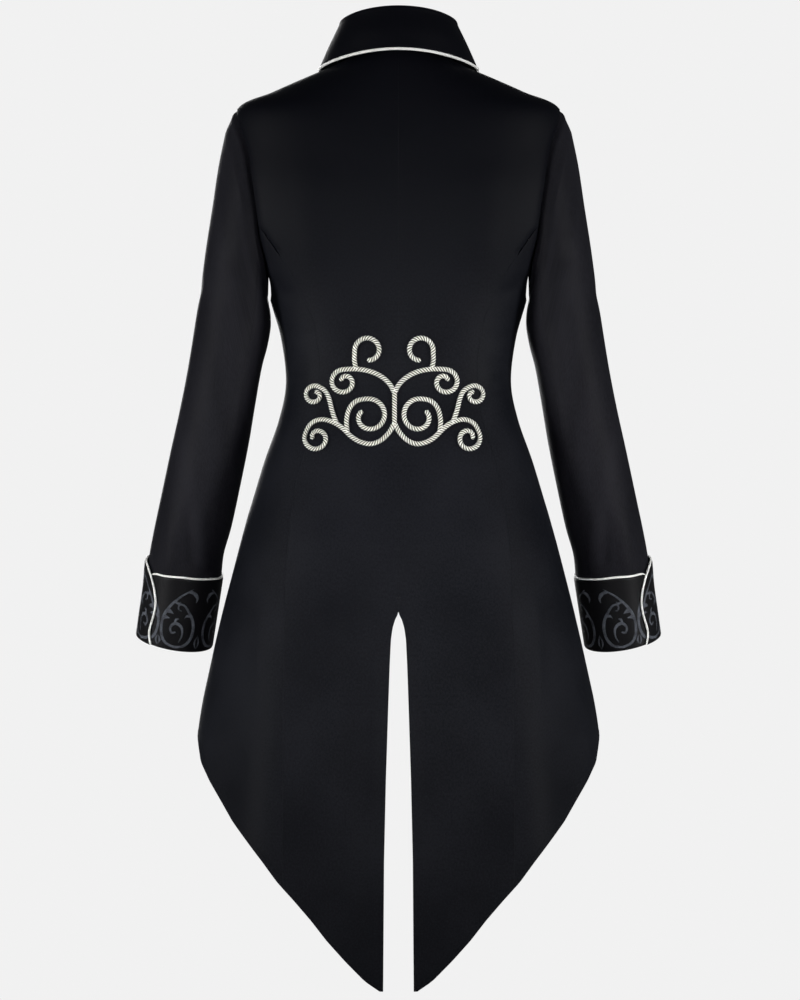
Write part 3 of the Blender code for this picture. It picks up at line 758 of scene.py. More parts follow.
@dataclass(frozen=True)
class StudioPaper:
    """Pale matte paper of the floor."""

    colour: tuple[float, float, float] = (0.84, 0.84, 0.84)
    deep: tuple[float, float, float] = (0.82, 0.82, 0.82)
    pale: tuple[float, float, float] = (0.86, 0.86, 0.86)

    def make(self) -> bpy.types.Material:
        """Make the floor's material.

        Returns:
            The material.
        """
        nodes = Nodes("studio_paper", self.colour, 0.9)
        tone = nodes.noise((3, 3, 3), 4, cloth=False)
        colour = nodes.blend(tone, self.deep, self.pale)
        return nodes.finish(colour, None, nodes.bump(tone, 0.002, 0.1), Specular_IOR_Level=0.1)


def hang(name: str, data: bpy.types.ID) -> bpy.types.Object:
    """Put a new object in the scene.

    Args:
        name: Its name.
        data: Its mesh, lamp or camera.

    Returns:
        The object.
    """
    item = bpy.data.objects.new(name, data)
    bpy.context.scene.collection.objects.link(item)
    return item


def mesh_of(name: str, work: bmesh.types.BMesh) -> bpy.types.Object:
    """Put a finished bmesh in the scene.

    Args:
        name: Name of the object.
        work: The bmesh, which is freed.

    Returns:
        The object.
    """
    mesh = bpy.data.meshes.new(name)
    work.to_mesh(mesh)
    work.free()
    return hang(name, mesh)


class Workroom:
    """The finishes, made once, and the calls that turn grids into pieces of the coat."""

    def __init__(self) -> None:
        """Make every finish."""
        self.cloth = CoatCloth().make()
        # The sleeves take a lighter copy of the coat's satin, painted light where the sleeves show brighter, with no
        # painted shade at the shoulders.
        self.sleeve_cloth_painted_lighter = CoatCloth("sleeve_satin_painted_lighter", (0.0104, 0.0102, 0.0134), (0.0030, 0.0030, 0.0046),
                                      shoulder_shade_share=0.0).make()
        self.lining = LiningSatin().make()
        self.brocade = CuffBrocade().make()
        self.piping = PipingCord().make()
        self.braid = BraidYarn().make()
        self.button = ButtonResin().make()
        self.thread = SewingThread().make()

    def grid(self, name: str, points: np.ndarray, cut: np.ndarray, outward: np.ndarray | None = None,
             shades: dict[str, np.ndarray] | None = None, closed: bool = False) -> bpy.types.Object:
        """A grid of cloth or cord, laid on rows of points.

        Args:
            name: Name of the piece.
            points: Rows of points in millimetres.
            cut: Place of each point on the flat cut, in millimetres.
            outward: Outward normals, or none where the mesh is closed and finds them itself.
            shades: Numbers that a finish reads at each point, by name.
            closed: Whether the rows close round and both ends are drawn together.

        Returns:
            The piece.
        """
        rows, columns = points.shape[:2]
        work = bmesh.new()
        bmesh.ops.create_grid(work, x_segments=columns - 1, y_segments=rows - 1, size=1.0)
        layers = {key: work.verts.layers.float.new(key) for key in (shades or {})}
        chart = work.loops.layers.uv.new("cut")
        places = {}
        for vertex in work.verts:
            column = round((vertex.co.x + 1) / 2 * (columns - 1))
            row = round((1 - vertex.co.y) / 2 * (rows - 1))
            places[vertex.index] = (row, column)
        for vertex in work.verts:
            row, column = places[vertex.index]
            vertex.co = Vector(points[row, column] * MM)
            for key, layer in layers.items():
                vertex[layer] = float(shades[key][row, column])
        for face in work.faces:
            face.smooth = True
            for loop in face.loops:
                row, column = places[loop.vert.index]
                loop[chart].uv = cut[row, column] * MM
        if outward is not None:
            work.normal_update()
            facing = sum(face.normal.dot(Vector(outward[places[face.verts[0].index]])) for face in work.faces)
            if facing < 0:
                bmesh.ops.reverse_faces(work, faces=work.faces)
        if closed:
            bmesh.ops.remove_doubles(work, verts=work.verts, dist=2e-6)
            bmesh.ops.recalc_face_normals(work, faces=work.faces)
        return self.piece(name, work)

    def piece(self, name: str, work: bmesh.types.BMesh) -> bpy.types.Object:
        """A piece of the coat from a finished bmesh.

        Args:
            name: Name of the piece.
            work: The bmesh.

        Returns:
            The piece.
        """
        item = mesh_of(name, work)
        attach(item, "root")
        return item

    def trim(self, item: bpy.types.Object, slot: str, *finishes: bpy.types.Material, node: str = "") -> None:
        """Give a piece its finishes and hide the imported part that it stands for.

        Args:
            item: The piece.
            slot: Not used.
            finishes: Its finishes in order.
            node: Node that it stands for, or nothing.
        """
        for finish in finishes:
            item.data.materials.append(finish)
        if node:
            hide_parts(node)

    def sew(self, item: bpy.types.Object, thickness: float, outer: bpy.types.Material, slot: str, node: str,
            **told: object) -> None:
        """Args:
            item: The cloth.
            thickness: Thickness in millimetres.
            outer: Finish of the outer face and the edges.
            slot: Its slot.
            node: Node that it stands for.
            told: Not used.
        """
        self.trim(item, slot, outer, self.lining, node=node)
        wall = item.modifiers.new("thickness", "SOLIDIFY")
        wall.thickness = thickness * MM
        wall.offset = -1
        wall.material_offset = 1
        wall.material_offset_rim = 0

    def tube(self, name: str, path: np.ndarray, ups: np.ndarray, radius: float, sides: int = 12
             ) -> bpy.types.Object:
        """A round cord with rounded ends along a path.

        Args:
            name: Name of the piece.
            path: Points in millimetres.
            ups: Upward directions at them.
            radius: Radius of the cord.
            sides: Faces round the cord.

        Returns:
            The piece.
        """
        tangents = unit(np.gradient(path, axis=0))
        side = unit(np.cross(tangents, ups))
        above = np.cross(side, tangents)
        lengths = run(path)
        ends = np.minimum(lengths, lengths[-1] - lengths)
        size = radius * np.sqrt(np.clip(1 - (1 - np.clip(ends / radius, 0, 1)) ** 2, 0, 1))
        turns = np.linspace(0, 2 * math.pi, sides + 1)
        points = (path[:, None] + side[:, None] * (size[:, None] * np.cos(turns))[..., None]
                  + above[:, None] * (size[:, None] * np.sin(turns))[..., None])
        cut = np.stack(np.broadcast_arrays(radius * turns[None, :], lengths[:, None]), axis=2)
        return self.grid(name, points, cut, closed=True)


@dataclass
class BodyPanels:
    """Back, side-back and front panels, from the neck seam to the tail tips, in millimetres."""

    room: Workroom
    form: Form
    thickness: float = 1.35
    overlap: float = 12.0
    lap_rise: float = 3.0
    row_step: float = 4.3
    seam_gap: float = -0.02
    centre_seam: float = 0.02
    side_back_seam_depth: float = 0.07
    side_seam: float = 0.25
    armhole_seam: float = 1.5
    seam_width: float = 2.2
    armhole_width: float = 7.0
    point: float = 0.0005
    edge_rise: float = 0.35
    edge_roll: float = 0.3
    side_corner: float = -768
    underarm: float = -270
    shoulder: float = -49
    vent_head: float = -626
    side_back_top: float = -222
    side_back_seam: tuple[tuple[float, float], ...] = (
        (-190, 158.5), (-235, 127), (-292, 98), (-340, 89), (-387, 91), (-431, 102), (-478, 116), (-524, 123),
        (-570, 127), (-640, 129), (-733, 130), (-842, 130), (-925, 130))
    vent_edge: tuple[tuple[float, float], ...] = (
        (-627, -0.02), (-630, 1.0), (-636, 4.0), (-645, 6.6), (-658, 8.4), (-687, 9.8), (-733, 11.4),
        (-815, 14.0), (-904, 16.0), (-1049, 17.0))
    back_hem: tuple[tuple[float, float], ...] = (
        (-768, 232.2), (-775, 231.5), (-801, 226.4), (-821, 215.7), (-842, 202), (-864, 187.8), (-885, 170.6),
        (-907, 152.6), (-929, 135.8), (-950, 116.2), (-971, 97.6), (-993, 80), (-1015, 59.7), (-1037, 37.5),
        (-1049, 19.6))
    cutaway: tuple[tuple[float, float], ...] = (
        (-400, -12), (-415, -9), (-431, 2), (-455, 22), (-501, 56), (-547, 87), (-594, 117), (-640, 145),
        (-687, 172), (-733, 202), (-768, 228))
    back_cut: tuple[float, float] = (0.235, 1.11)
    side_back_cut: tuple[float, float] = (0.165, 0.76)
    front_cut: tuple[float, float] = (0.335, 0.78)
    folds: tuple[Fold, ...] = folds_of(
        (Face.BACK,
         # whiskers at the waist
         (133, -336, 120, -339, 104, -338, 4.0, -0.9), (132, -349, 118, -353, 101, -352, 4.0, -1.1),
         (133, -363, 119, -368, 104, -367, 4.0, -1.0), (134, -378, 121, -382, 108, -380, 4.5, -0.8),
         (-133, -341, -119, -343, -102, -341, 4.0, -1.0), (-132, -356, -120, -361, -106, -360, 4.2, -1.0),
         (-133, -371, -118, -375, -100, -372, 4.0, -0.8),
         # soft folds of the tails
         (66, -940, 60, -985, 57, -1012, 7.5, -1.0), (49, -925, 47, -975, 46, -1010, 9.0, 0.8),
         (-56, -945, -55, -975, -52, -1004, 7.5, -0.9), (-72, -920, -70, -960, -66, -990, 9.0, 0.7),
         (-154, -600, -157, -660, -160, -735, 6.0, 1.6), (152, -610, 155, -665, 158, -720, 7.0, 1.2),
         (22, -640, 27, -800, 31, -1030, 5.5, 0.9), (-23, -640, -28, -800, -30, -1030, 5.5, 0.9),
         (74, -600, 80, -720, 84, -860, 16, 1.6), (-76, -590, -83, -730, -86, -870, 16, 1.4),
         # shoulder blades, and the drag below the armholes
         (96, -110, 100, -175, 88, -240, 24, 2.0), (-98, -112, -99, -172, -86, -244, 24, 2.0),
         (0, -90, 0, -190, 0, -330, 22, -1.6), (150, -245, 136, -262, 118, -270, 8, -1.3),
         (-149, -240, -134, -259, -115, -268, 8, -1.4), (134, -305, 112, -312, 92, -309, 7, -0.8),
         (-133, -309, -113, -317, -95, -315, 7, -0.8)),
        (Face.FRONT,
         # front: bust, button strain, and waist
         (62, -175, 78, -225, 66, -275, 30, 3.0), (-62, -178, -78, -226, -66, -278, 30, 3.0),
         (-14, -328, -48, -338, -84, -334, 6, -0.9), (16, -330, 52, -340, 88, -338, 6, -0.9),
         (-16, -256, -40, -262, -62, -259, 6, -0.8), (18, -258, 43, -265, 68, -262, 6, -0.8),
         (128, -352, 108, -357, 88, -354, 4.5, -0.9), (-128, -349, -107, -355, -86, -352, 4.5, -0.9),
         (127, -367, 110, -372, 92, -369, 4.5, -0.8), (150, -450, 168, -560, 186, -690, 14, 1.8),
         (-150, -452, -167, -566, -188, -684, 14, 1.8)),
        (Face.OUT_LEFT, (10, -520, 6, -620, 2, -760, 14, -2.0)),
        (Face.OUT_RIGHT, (12, -515, 9, -630, 2, -755, 14, -2.0)),
        (Face.OUT_LEFT, (-46, -560, -52, -650, -60, -740, 12, 1.6)),
        (Face.OUT_RIGHT, (-44, -556, -53, -655, -60, -742, 12, 1.6)),
    )

    def columns(self, first: float, last: float, level: float, count: int) -> tuple[np.ndarray, np.ndarray]:
        """Points of one row of a panel, with their places along the row.

        Args:
            first: First turn.
            last: Last turn.
            level: Level of the row.
            count: Number of columns.

        Returns:
            The points, and each one's distance from the first.
        """
        even = np.linspace(first, last, 60)
        lengths = run(self.form.ring(even, level))
        along = spread(lengths[-1], count) * lengths[-1]
        return self.form.ring(np.interp(along, lengths, even), level), along

    def vent_turn(self, level: float) -> float:
        """First turn of the back: its centre seam, or the edge of the vent."""
        height = self.form.ring(np.array([0.0]), level)[0, 2]
        return self.form.turn_at(max(self.seam_gap, float(read_edge(self.vent_edge, height))), level)

    def gap(self, level: float) -> float:
        """Half a seam's gap as a turn."""
        return self.seam_gap / float(np.linalg.norm(self.form.ring(np.array([1.2]), level)[0, :2]))

    def rows(self) -> dict[str, list[tuple[float, float, float]]]:
        """Lay out the rows of the three panels.

        Returns:
            Level, first turn and last turn of every row, by panel.
        """
        quarter = math.pi / 2
        steps = np.linspace(0, 10, 66)
        found: dict[str, list[tuple[float, float, float]]] = {"back": [], "side_back": [], "front": []}
        for level in np.linspace(0, 3, 32)[:-1]:
            found["back"].append((level, self.vent_turn(level), quarter - self.gap(level)))
            found["front"].append((level, quarter + self.gap(level), self.form.turn_at(-self.overlap, level, True)))
        above = (0.0, 0.0)
        for step, (turn, level) in zip(steps, self.form.armhole(steps, False)):
            seam = min(self.form.seam_turn(self.side_back_seam, level), turn - 0.004) if step >= 5.99 else None
            if seam is None:
                found["back"].append((level, self.vent_turn(level), turn))
                above = (turn, level)
                continue
            if not found["side_back"]:
                found["side_back"].append((above[1], above[0] - self.point, above[0]))
            found["back"].append((level, self.vent_turn(level), seam - self.gap(level)))
            found["side_back"].append((level, seam + self.gap(level), turn))
        for turn, level in self.form.armhole(steps, True):
            found["front"].append((level, turn, self.form.turn_at(-self.overlap, level, True)))
        closed = False
        for height in np.arange(-274, -1049.1, -self.row_step):
            level = self.form.level_at(height)
            seam = self.form.seam_turn(self.side_back_seam, level)
            first, last = self.vent_turn(level), quarter - self.gap(level)
            if height < self.side_corner:
                last = self.form.turn_at(float(read_edge(self.back_hem, height)), level)
            found["back"].append((level, first, min(seam - self.gap(level), last)))
            if last - seam > self.point:
                found["side_back"].append((level, seam + self.gap(level), last))
            elif not closed:
                found["side_back"].append((level, last - self.point, last))
                closed = True
            if height > self.side_corner:
                edge = self.form.turn_at(float(read_edge(self.cutaway, height)), level, True)
                found["front"].append((level, quarter + self.gap(level), edge))
        return found

    def lap_lift(self, points: np.ndarray) -> np.ndarray:
        """Rise of the right front where it laps over the left."""
        return self.lap_rise * ease((26 - points[..., 0]) / 12)

    def dress(self, points: np.ndarray, along: np.ndarray, edges: tuple[np.ndarray, np.ndarray], side: Side,
              lift: np.ndarray) -> tuple[np.ndarray, np.ndarray]:
        """Turn a panel's edges in to its seams and lay its folds.

        Args:
            points: Rows of points of the wearer's left.
            along: Distance of each point from the row's start.
            edges: Depth of the seam by the first and the last column of each row, or less than nought at a free edge.
            side: Side of the wearer.
            lift: Rise of each point over the form.

        Returns:
            The points, and their outward normals.
        """
        axis = points.mean(axis=1, keepdims=True) * (0, 0, 1)
        normals = normals_of(points, axis)
        rise = lift.copy()
        for depth, away in zip(edges, (along, along[:, -1:] - along)):
            turned = (self.edge_rise * ease(away / 1.2) * ease((9 - away) / 3)
                      - self.edge_roll * (1 - ease(away / 1.2)))
            width = np.where(depth >= self.armhole_seam, self.armhole_width, self.seam_width)[:, None]
            sewn = -depth[:, None] * (1 - ease(away / width))
            rise += np.where(depth[:, None] < 0, turned, sewn)
        points, normals = points * (side.value, 1, 1), normals * (side.value, 1, 1)
        flat, flat_normals = points.reshape(-1, 3), normals.reshape(-1, 3)
        for fold in self.folds:
            rise += fold.rise(flat, flat_normals).reshape(rise.shape)
        return points + normals * rise[..., None], normals

    def edge_depths(self, panel: str, points: np.ndarray) -> tuple[np.ndarray, np.ndarray]:
        """Depth of the seams by both ends of every row of a panel.

        Args:
            panel: Name of the panel.
            points: Its rows of points.

        Returns:
            Depths by the first and the last column, less than nought at a free edge.
        """
        first, last = points[:, 0, 2], points[:, -1, 2]
        hem = (last < self.side_corner) & (np.abs(points[:, -1, 0]) >= read_edge(self.back_hem, last) - 0.6)
        if panel == "back":
            start = np.where(first < self.vent_head, -1.0, self.centre_seam)
            upper = np.where(last > self.shoulder, self.side_seam, self.armhole_seam)
            end = np.where(last > self.side_back_top, upper, self.side_back_seam_depth)
            return start, np.where(hem, -1.0, end)
        if panel == "side_back":
            end = np.where(last > self.underarm, self.armhole_seam, self.side_seam)
            return np.full(len(first), self.side_back_seam_depth), np.where(hem, -1.0, end)
        start = np.where((first > self.underarm) & (first < self.shoulder - 1), self.armhole_seam, self.side_seam)
        return start, np.full(len(last), -1.0)

    def build(self) -> None:
        """Build the six panels."""
        rows = self.rows()
        plan = {"back": (44, self.back_cut), "side_back": (32, self.side_back_cut), "front": (62, self.front_cut)}
        for panel, (count, cut) in plan.items():
            found = [self.columns(first, last, level, count) for level, first, last in rows[panel]]
            points = np.array([row[0] for row in found])
            along = np.array([row[1] for row in found])
            down = run(points[:, count // 2])
            chart = np.stack(np.broadcast_arrays(along, -down[:, None]), axis=2)
            sewn = self.edge_depths(panel, points)
            for side in Side:
                lift = self.lap_lift(points) if panel == "front" and side is Side.RIGHT else np.zeros(along.shape)
                placed, normals = self.dress(points, along, sewn, side, lift)
                item = self.room.grid(f"{panel}_{side.word}_cloth", placed, chart, normals)
                hung = "collar_stand" if panel != "side_back" else f"back_{side.word}"
                self.room.sew(item, self.thickness, self.room.cloth, "coat_cloth", f"{panel}_{side.word}",
                              flat=cut, held="hung", rests_on=[hung])


@dataclass
class Sleeves:
    """Upper and under sleeves from the armhole seam to the hem, in millimetres."""

    room: Workroom
    form: Form
    thickness: float = 1.3
    seam_turn: float = 126.0
    columns_upper: int = 78
    columns_under: int = 40
    rows: int = 132
    seam_depth: float = 0.10
    tuck: float = 0.08
    girth: float = 410.0
    leave_length: float = 44.0
    head_sink: float = 2.6
    crown_rise: float = 1.1
    upper_cut: tuple[float, float] = (0.275, 0.66)
    under_cut: tuple[float, float] = (0.150, 0.46)
    folds: tuple[Fold, ...] = folds_of(
        (Face.BACK,
         (243, -500, 240, -545, 238, -585, 7.0, -2.2), (229, -505, 226, -548, 224, -590, 8.0, 1.8),
         (262, -512, 264, -560, 266, -592, 8.0, 1.6), (214, -392, 232, -404, 250, -400, 9.0, -0.7),
         (186, -372, 206, -384, 230, -378, 11.0, -0.7), (190, -420, 212, -430, 238, -424, 11.0, -0.6),
         (170, -250, 186, -230, 206, -222, 12, -1.6), (166, -300, 184, -290, 204, -288, 12, -1.2),
         (-240, -505, -239, -548, -238, -590, 7.0, -2.0), (-226, -500, -224, -545, -222, -588, 8.0, 1.7),
         (-262, -515, -263, -560, -265, -590, 8.0, 1.5), (-212, -398, -230, -410, -250, -405, 9.0, -0.7),
         (-184, -366, -204, -379, -228, -374, 11.0, -0.7), (-192, -432, -214, -440, -240, -436, 11.0, -0.6),
         (-168, -244, -185, -226, -206, -217, 12, -1.6), (-164, -306, -184, -297, -204, -294, 12, -1.2)),
        (Face.FRONT,
         (178, -384, 204, -396, 232, -386, 9.0, -2.2), (182, -408, 208, -416, 236, -408, 8.0, -1.8),
         (186, -432, 210, -440, 240, -434, 9.0, -1.6), (-177, -380, -203, -391, -231, -383, 9.0, -2.2),
         (-182, -404, -209, -413, -237, -405, 8.0, -1.8), (-187, -436, -211, -444, -241, -437, 9.0, -1.6),
         (166, -240, 184, -222, 204, -216, 12, -1.6), (-166, -244, -183, -228, -204, -220, 12, -1.6)),
        (Face.OUT_LEFT, (30, -250, 6, -262, -18, -256, 12, -1.2)),
        (Face.OUT_RIGHT, (28, -256, 5, -266, -20, -262, 12, -1.2)),
    )

    def surface(self, turns: np.ndarray) -> np.ndarray:
        """Rows of points of the wearer's left sleeve.

        Args:
            turns: Turns in degrees from the outer line towards the back.

        Returns:
            Rows from the armhole to the hem.
        """
        steps = np.where(turns % 360 <= 180, turns % 360, 360 - turns % 360) / 18
        rims = {front: dict(zip(steps.tolist(), self.form.armhole(steps, front))) for front in (False, True)}
        ring = []
        for turn, step in zip(turns, steps.tolist()):
            angle, level = rims[turn % 360 > 180][step]
            ring.append(self.form.ring(np.array([angle]), level)[0])
        table = [np.array(ring)]
        table += [sleeve_points(np.radians(turns), row) for row in range(len(SLEEVE_ROWS))]
        table = np.array(table)
        table[0] = table[0] - (table[1] - table[0]) * self.tuck
        rows = []
        for position in np.concatenate((np.linspace(0, 1, 14)[:-1], np.linspace(1, 15, self.rows - 13))):
            if position < 1:
                start, end = table[0], table[1]
                leave = (table[2] - table[1]) * np.linalg.norm(end - start, axis=1, keepdims=True) / self.leave_length
                blend = position**2 * (3 - 2 * position)
                rows.append(start + (end - start) * (0.5 * position + 0.5 * blend)
                            + leave * (position**3 - position**2) * 0.6)
            else:
                rows.append(spline(table[1:], position - 1))
        return np.array(rows)

    def build(self) -> None:
        """Build both sleeves in two pieces each."""
        plan = {"sleeve_upper": (-self.seam_turn, self.seam_turn, self.columns_upper, self.upper_cut),
                "sleeve_under": (self.seam_turn, 360 - self.seam_turn, self.columns_under, self.under_cut)}
        for piece, (first, last, count, cut) in plan.items():
            length = (last - first) / 360 * self.girth
            turns = first + (last - first) * spread(length, count)
            points = self.surface(turns)
            centres = np.array([sleeve_points(np.radians(np.arange(0, 360, 30)), row).mean(axis=0)
                                for row in np.linspace(0, 14, len(points))])[:, None]
            normals = normals_of(points, centres)
            along, down = run(points, 1), run(points)
            chart = np.stack((along, -down), axis=2)
            rise = -self.seam_depth * (2 - ease(along / 2.2) - ease((along[:, -1:] - along) / 2.2))
            crown = ease((np.cos(np.radians(turns)) + 0.3) / 0.9)[None, :]
            rise -= self.head_sink * (1 - ease(down / 10.0))
            rise += self.crown_rise * crown * np.exp(-(((down - 8) / 6) ** 2))
            for side in Side:
                placed, out = points * (side.value, 1, 1), normals * (side.value, 1, 1)
                lift = rise.copy()
                for fold in self.folds:
                    lift += fold.rise(placed.reshape(-1, 3), out.reshape(-1, 3)).reshape(lift.shape)
                item = self.room.grid(f"{piece}_{side.word}_cloth", placed + out * lift[..., None], chart, out)
                self.room.sew(item, self.thickness, self.room.sleeve_cloth_painted_lighter, "coat_cloth", f"{piece}_{side.word}",
                              flat=cut, held="hung", rests_on=[f"front_{side.word}", f"back_{side.word}"])


@dataclass(frozen=True)
class Stroke:
    """One woven stroke of the brocade: places, and its half width at the start, middle and end."""

    path: tuple[tuple[float, float], ...]
    widths: tuple[float, float, float]

    def distance(self, flat: np.ndarray) -> np.ndarray:
        """Distance from the edge of the stroke.

        Args:
            flat: Flat places.

        Returns:
            One distance for each, negative within the stroke.
        """
        curve = resample(np.array(self.path, float), 2.2)
        best = np.full(len(flat), 1e9)
        for index in range(len(curve) - 1):
            away, share = beside(flat, curve[index], curve[index + 1])
            at = (index + share) / (len(curve) - 1)
            best = np.minimum(best, away - np.interp(at, (0, 0.5, 1), self.widths))
        return best


@dataclass
class Cuffs:
    """Turned-back brocade cuffs with a shaped flap, and the piping on their edge, in millimetres."""

    room: Workroom
    thickness: float = 1.4
    columns: int = 260
    shares: int = 64
    row_length: float = 29.0
    repeat: float = 45.0
    clear: float = 2.6
    flap_clear: float = 2.3
    figure_top: float = 76.0
    piping_radius: float = 1.25
    cut: tuple[float, float] = (0.40, 0.094)
    rows: tuple[tuple[float, float, float], ...] = (
        (0.0, 28, 413), (0.2, 28, 406), (0.4, 28, 411), (0.6, 28, 412), (0.8, 28, 404), (0.92, 30, 392),
        (0.97, 34, 382), (1.0, 41, 369))
    height: tuple[tuple[float, float], ...] = (
        (28, 78), (60, 81), (90, 86), (135, 88), (180, 86), (270, 86), (360, 86), (413, 86))
    strokes: tuple[Stroke, ...] = (
        Stroke(((33, 65), (28, 61.5), (20, 55.5), (11.5, 46.5), (5, 36), (2.2, 25), (3.6, 14), (10, 6), (20, 2.8)),
               (0.8, 1.9, 1.7)),
        Stroke(((20, 2.8), (30, 5.5), (37, 13.5), (38.5, 24), (35.5, 34), (30, 42), (24.5, 47.5), (19.5, 47),
                (19, 42.5), (22.5, 41)), (1.7, 1.9, 0.9)),
        Stroke(((24, 9), (27, 16), (25, 24), (18, 27), (13, 22), (15, 17), (19, 18)), (0.7, 1.9, 1.0)),
        Stroke(((28, 61.5), (34, 61), (38.5, 56.5), (37.5, 51.5)), (1.0, 2.3, 0.6)),
        Stroke(((6, 37), (10, 38.5), (14.5, 36.5)), (1.2, 2.2, 0.4)),
        Stroke(((3.2, 29), (7, 31.5), (11, 31)), (1.2, 1.9, 0.4)),
        Stroke(((14, 49), (18.5, 48.5), (21, 51)), (0.9, 1.4, 0.3)),
        Stroke(((17, 27), (18, 31), (22, 33)), (0.8, 1.5, 0.3)),
        Stroke(((34.5, 36), (29, 36.5), (27, 33)), (1.0, 1.6, 0.3)),
        Stroke(((45, 17), (42.5, 9), (45, 2)), (0.4, 1.3, 0.4)),
        Stroke(((0, 2), (2.5, 7), (0, 13)), (0.6, 1.5, 0.3)),
    )

    def figure(self, along: np.ndarray, up: np.ndarray) -> np.ndarray:
        """Distance from the woven figure's edge at places on the flat cuff.

        Args:
            along: Distance along the cuff.
            up: Distance above its hem.

        Returns:
            Distances, negative within the figure.
        """
        folded = np.abs((along + self.repeat) % (2 * self.repeat) - self.repeat)
        flat = np.column_stack((folded.ravel(), up.ravel()))
        best = np.min([stroke.distance(flat) for stroke in self.strokes], axis=0)
        return best.reshape(along.shape)

    def place(self, turn: np.ndarray, distance: np.ndarray) -> np.ndarray:
        """Points on the sleeve's form beside the hem.

        Args:
            turn: Turns in degrees.
            distance: Distances from the hem.

        Returns:
            One point for each.
        """
        last = len(SLEEVE_ROWS) - 1
        points = np.empty((*turn.shape, 3))
        for row in range(turn.shape[0]):
            for column in range(turn.shape[1]):
                angle, away = np.radians(turn[row, column:column + 1]), distance[row, column]
                point = sleeve_points(angle, last - away / self.row_length)[0]
                if away < 0:
                    leg = sleeve_points(angle, last)[0] - sleeve_points(angle, last - 0.2)[0]
                    point = point + leg / np.linalg.norm(leg) * -away
                points[row, column] = point
        return points

    def build(self) -> None:
        """Build both cuffs and their piping."""
        rows = self.shares
        shares = spread(86, rows)
        table = np.array(self.rows)
        heights = np.array(self.height)
        start, end = (np.interp(shares, table[:, 0], table[:, index]) for index in (1, 2))
        across = spread(360, self.columns)
        turn = start[:, None] + (end - start)[:, None] * across[None, :]
        distance = shares[:, None] * np.interp(turn, heights[:, 0], heights[:, 1]) - 1.0
        base = self.place(turn, distance)
        centre = base.mean(axis=1, keepdims=True)
        normals = normals_of(base, centre)
        lift = self.clear + self.flap_clear * ease((turn - 325) / 50)
        points = base + normals * lift[..., None]
        level = len(shares) // 2
        reference = np.arange(0, 420, 2.0)
        middle = self.place(reference[None, :], np.full((1, len(reference)), 40.0))[0]
        along = np.interp(turn, reference, run(middle))
        chart = np.stack((along, distance), axis=2)
        figure = self.figure(along - float(along[level, -1]) - 6, (distance - 2) / 1.13)
        figure = np.maximum(figure, distance - self.figure_top)
        rim = np.minimum(np.minimum(np.arange(rows)[:, None], rows - 1 - np.arange(rows)[:, None]), 4)
        points = points - normals * (0.5 * (1 - ease(rim / 3.0)))[..., None] * np.ones(turn.shape)[..., None]
        edge = 0.55 * self.thickness
        first = self.outside(points[:, 0], points[:, 1], normals[:, 0], edge)
        top = self.outside(points[-1], points[-2], normals[-1], edge)
        fall = self.outside(points[:, -1], points[:, -2], normals[:, -1], edge)[::-1]
        path = resample(np.concatenate((first[-22:-3:4], top[3::6], fall[2::5], fall[-1:])), 1.2)
        path = smoothed(path, 5)
        ups = np.array([(*(point - centre[rows // 2, 0])[:2], 0.0) for point in path])
        for side in Side:
            flip = (side.value, 1, 1)
            cuff = self.room.grid(f"cuff_{side.word}_cloth", points * flip, chart, normals * flip, {"figure": figure})
            piping = self.room.tube(f"cuff_piping_{side.word}_cord", path * flip, ups * flip, self.piping_radius)
            self.room.trim(piping, "piping", self.room.piping, node=f"cuff_piping_{side.word}")
            self.room.sew(cuff, self.thickness, self.room.brocade, "cuff_brocade", f"cuff_{side.word}",
                          flat=self.cut, held="laid", rests_on=[f"sleeve_upper_{side.word}"], with_pieces=[piping])

    def outside(self, points: np.ndarray, inner: np.ndarray, normals: np.ndarray, depth: float) -> np.ndarray:
        """A line just outside a row of points and below their face.

        Args:
            points: Points of the edge.
            inner: Their neighbours within the cloth.
            normals: Outward normals at the edge.
            depth: Distance below the face.

        Returns:
            Points of the line.
        """
        tangents = unit(np.gradient(points, axis=0))
        away = points - inner
        away = unit(away - tangents * np.sum(away * tangents, axis=1, keepdims=True))
        return points + away * (self.piping_radius + 0.1) - normals * depth


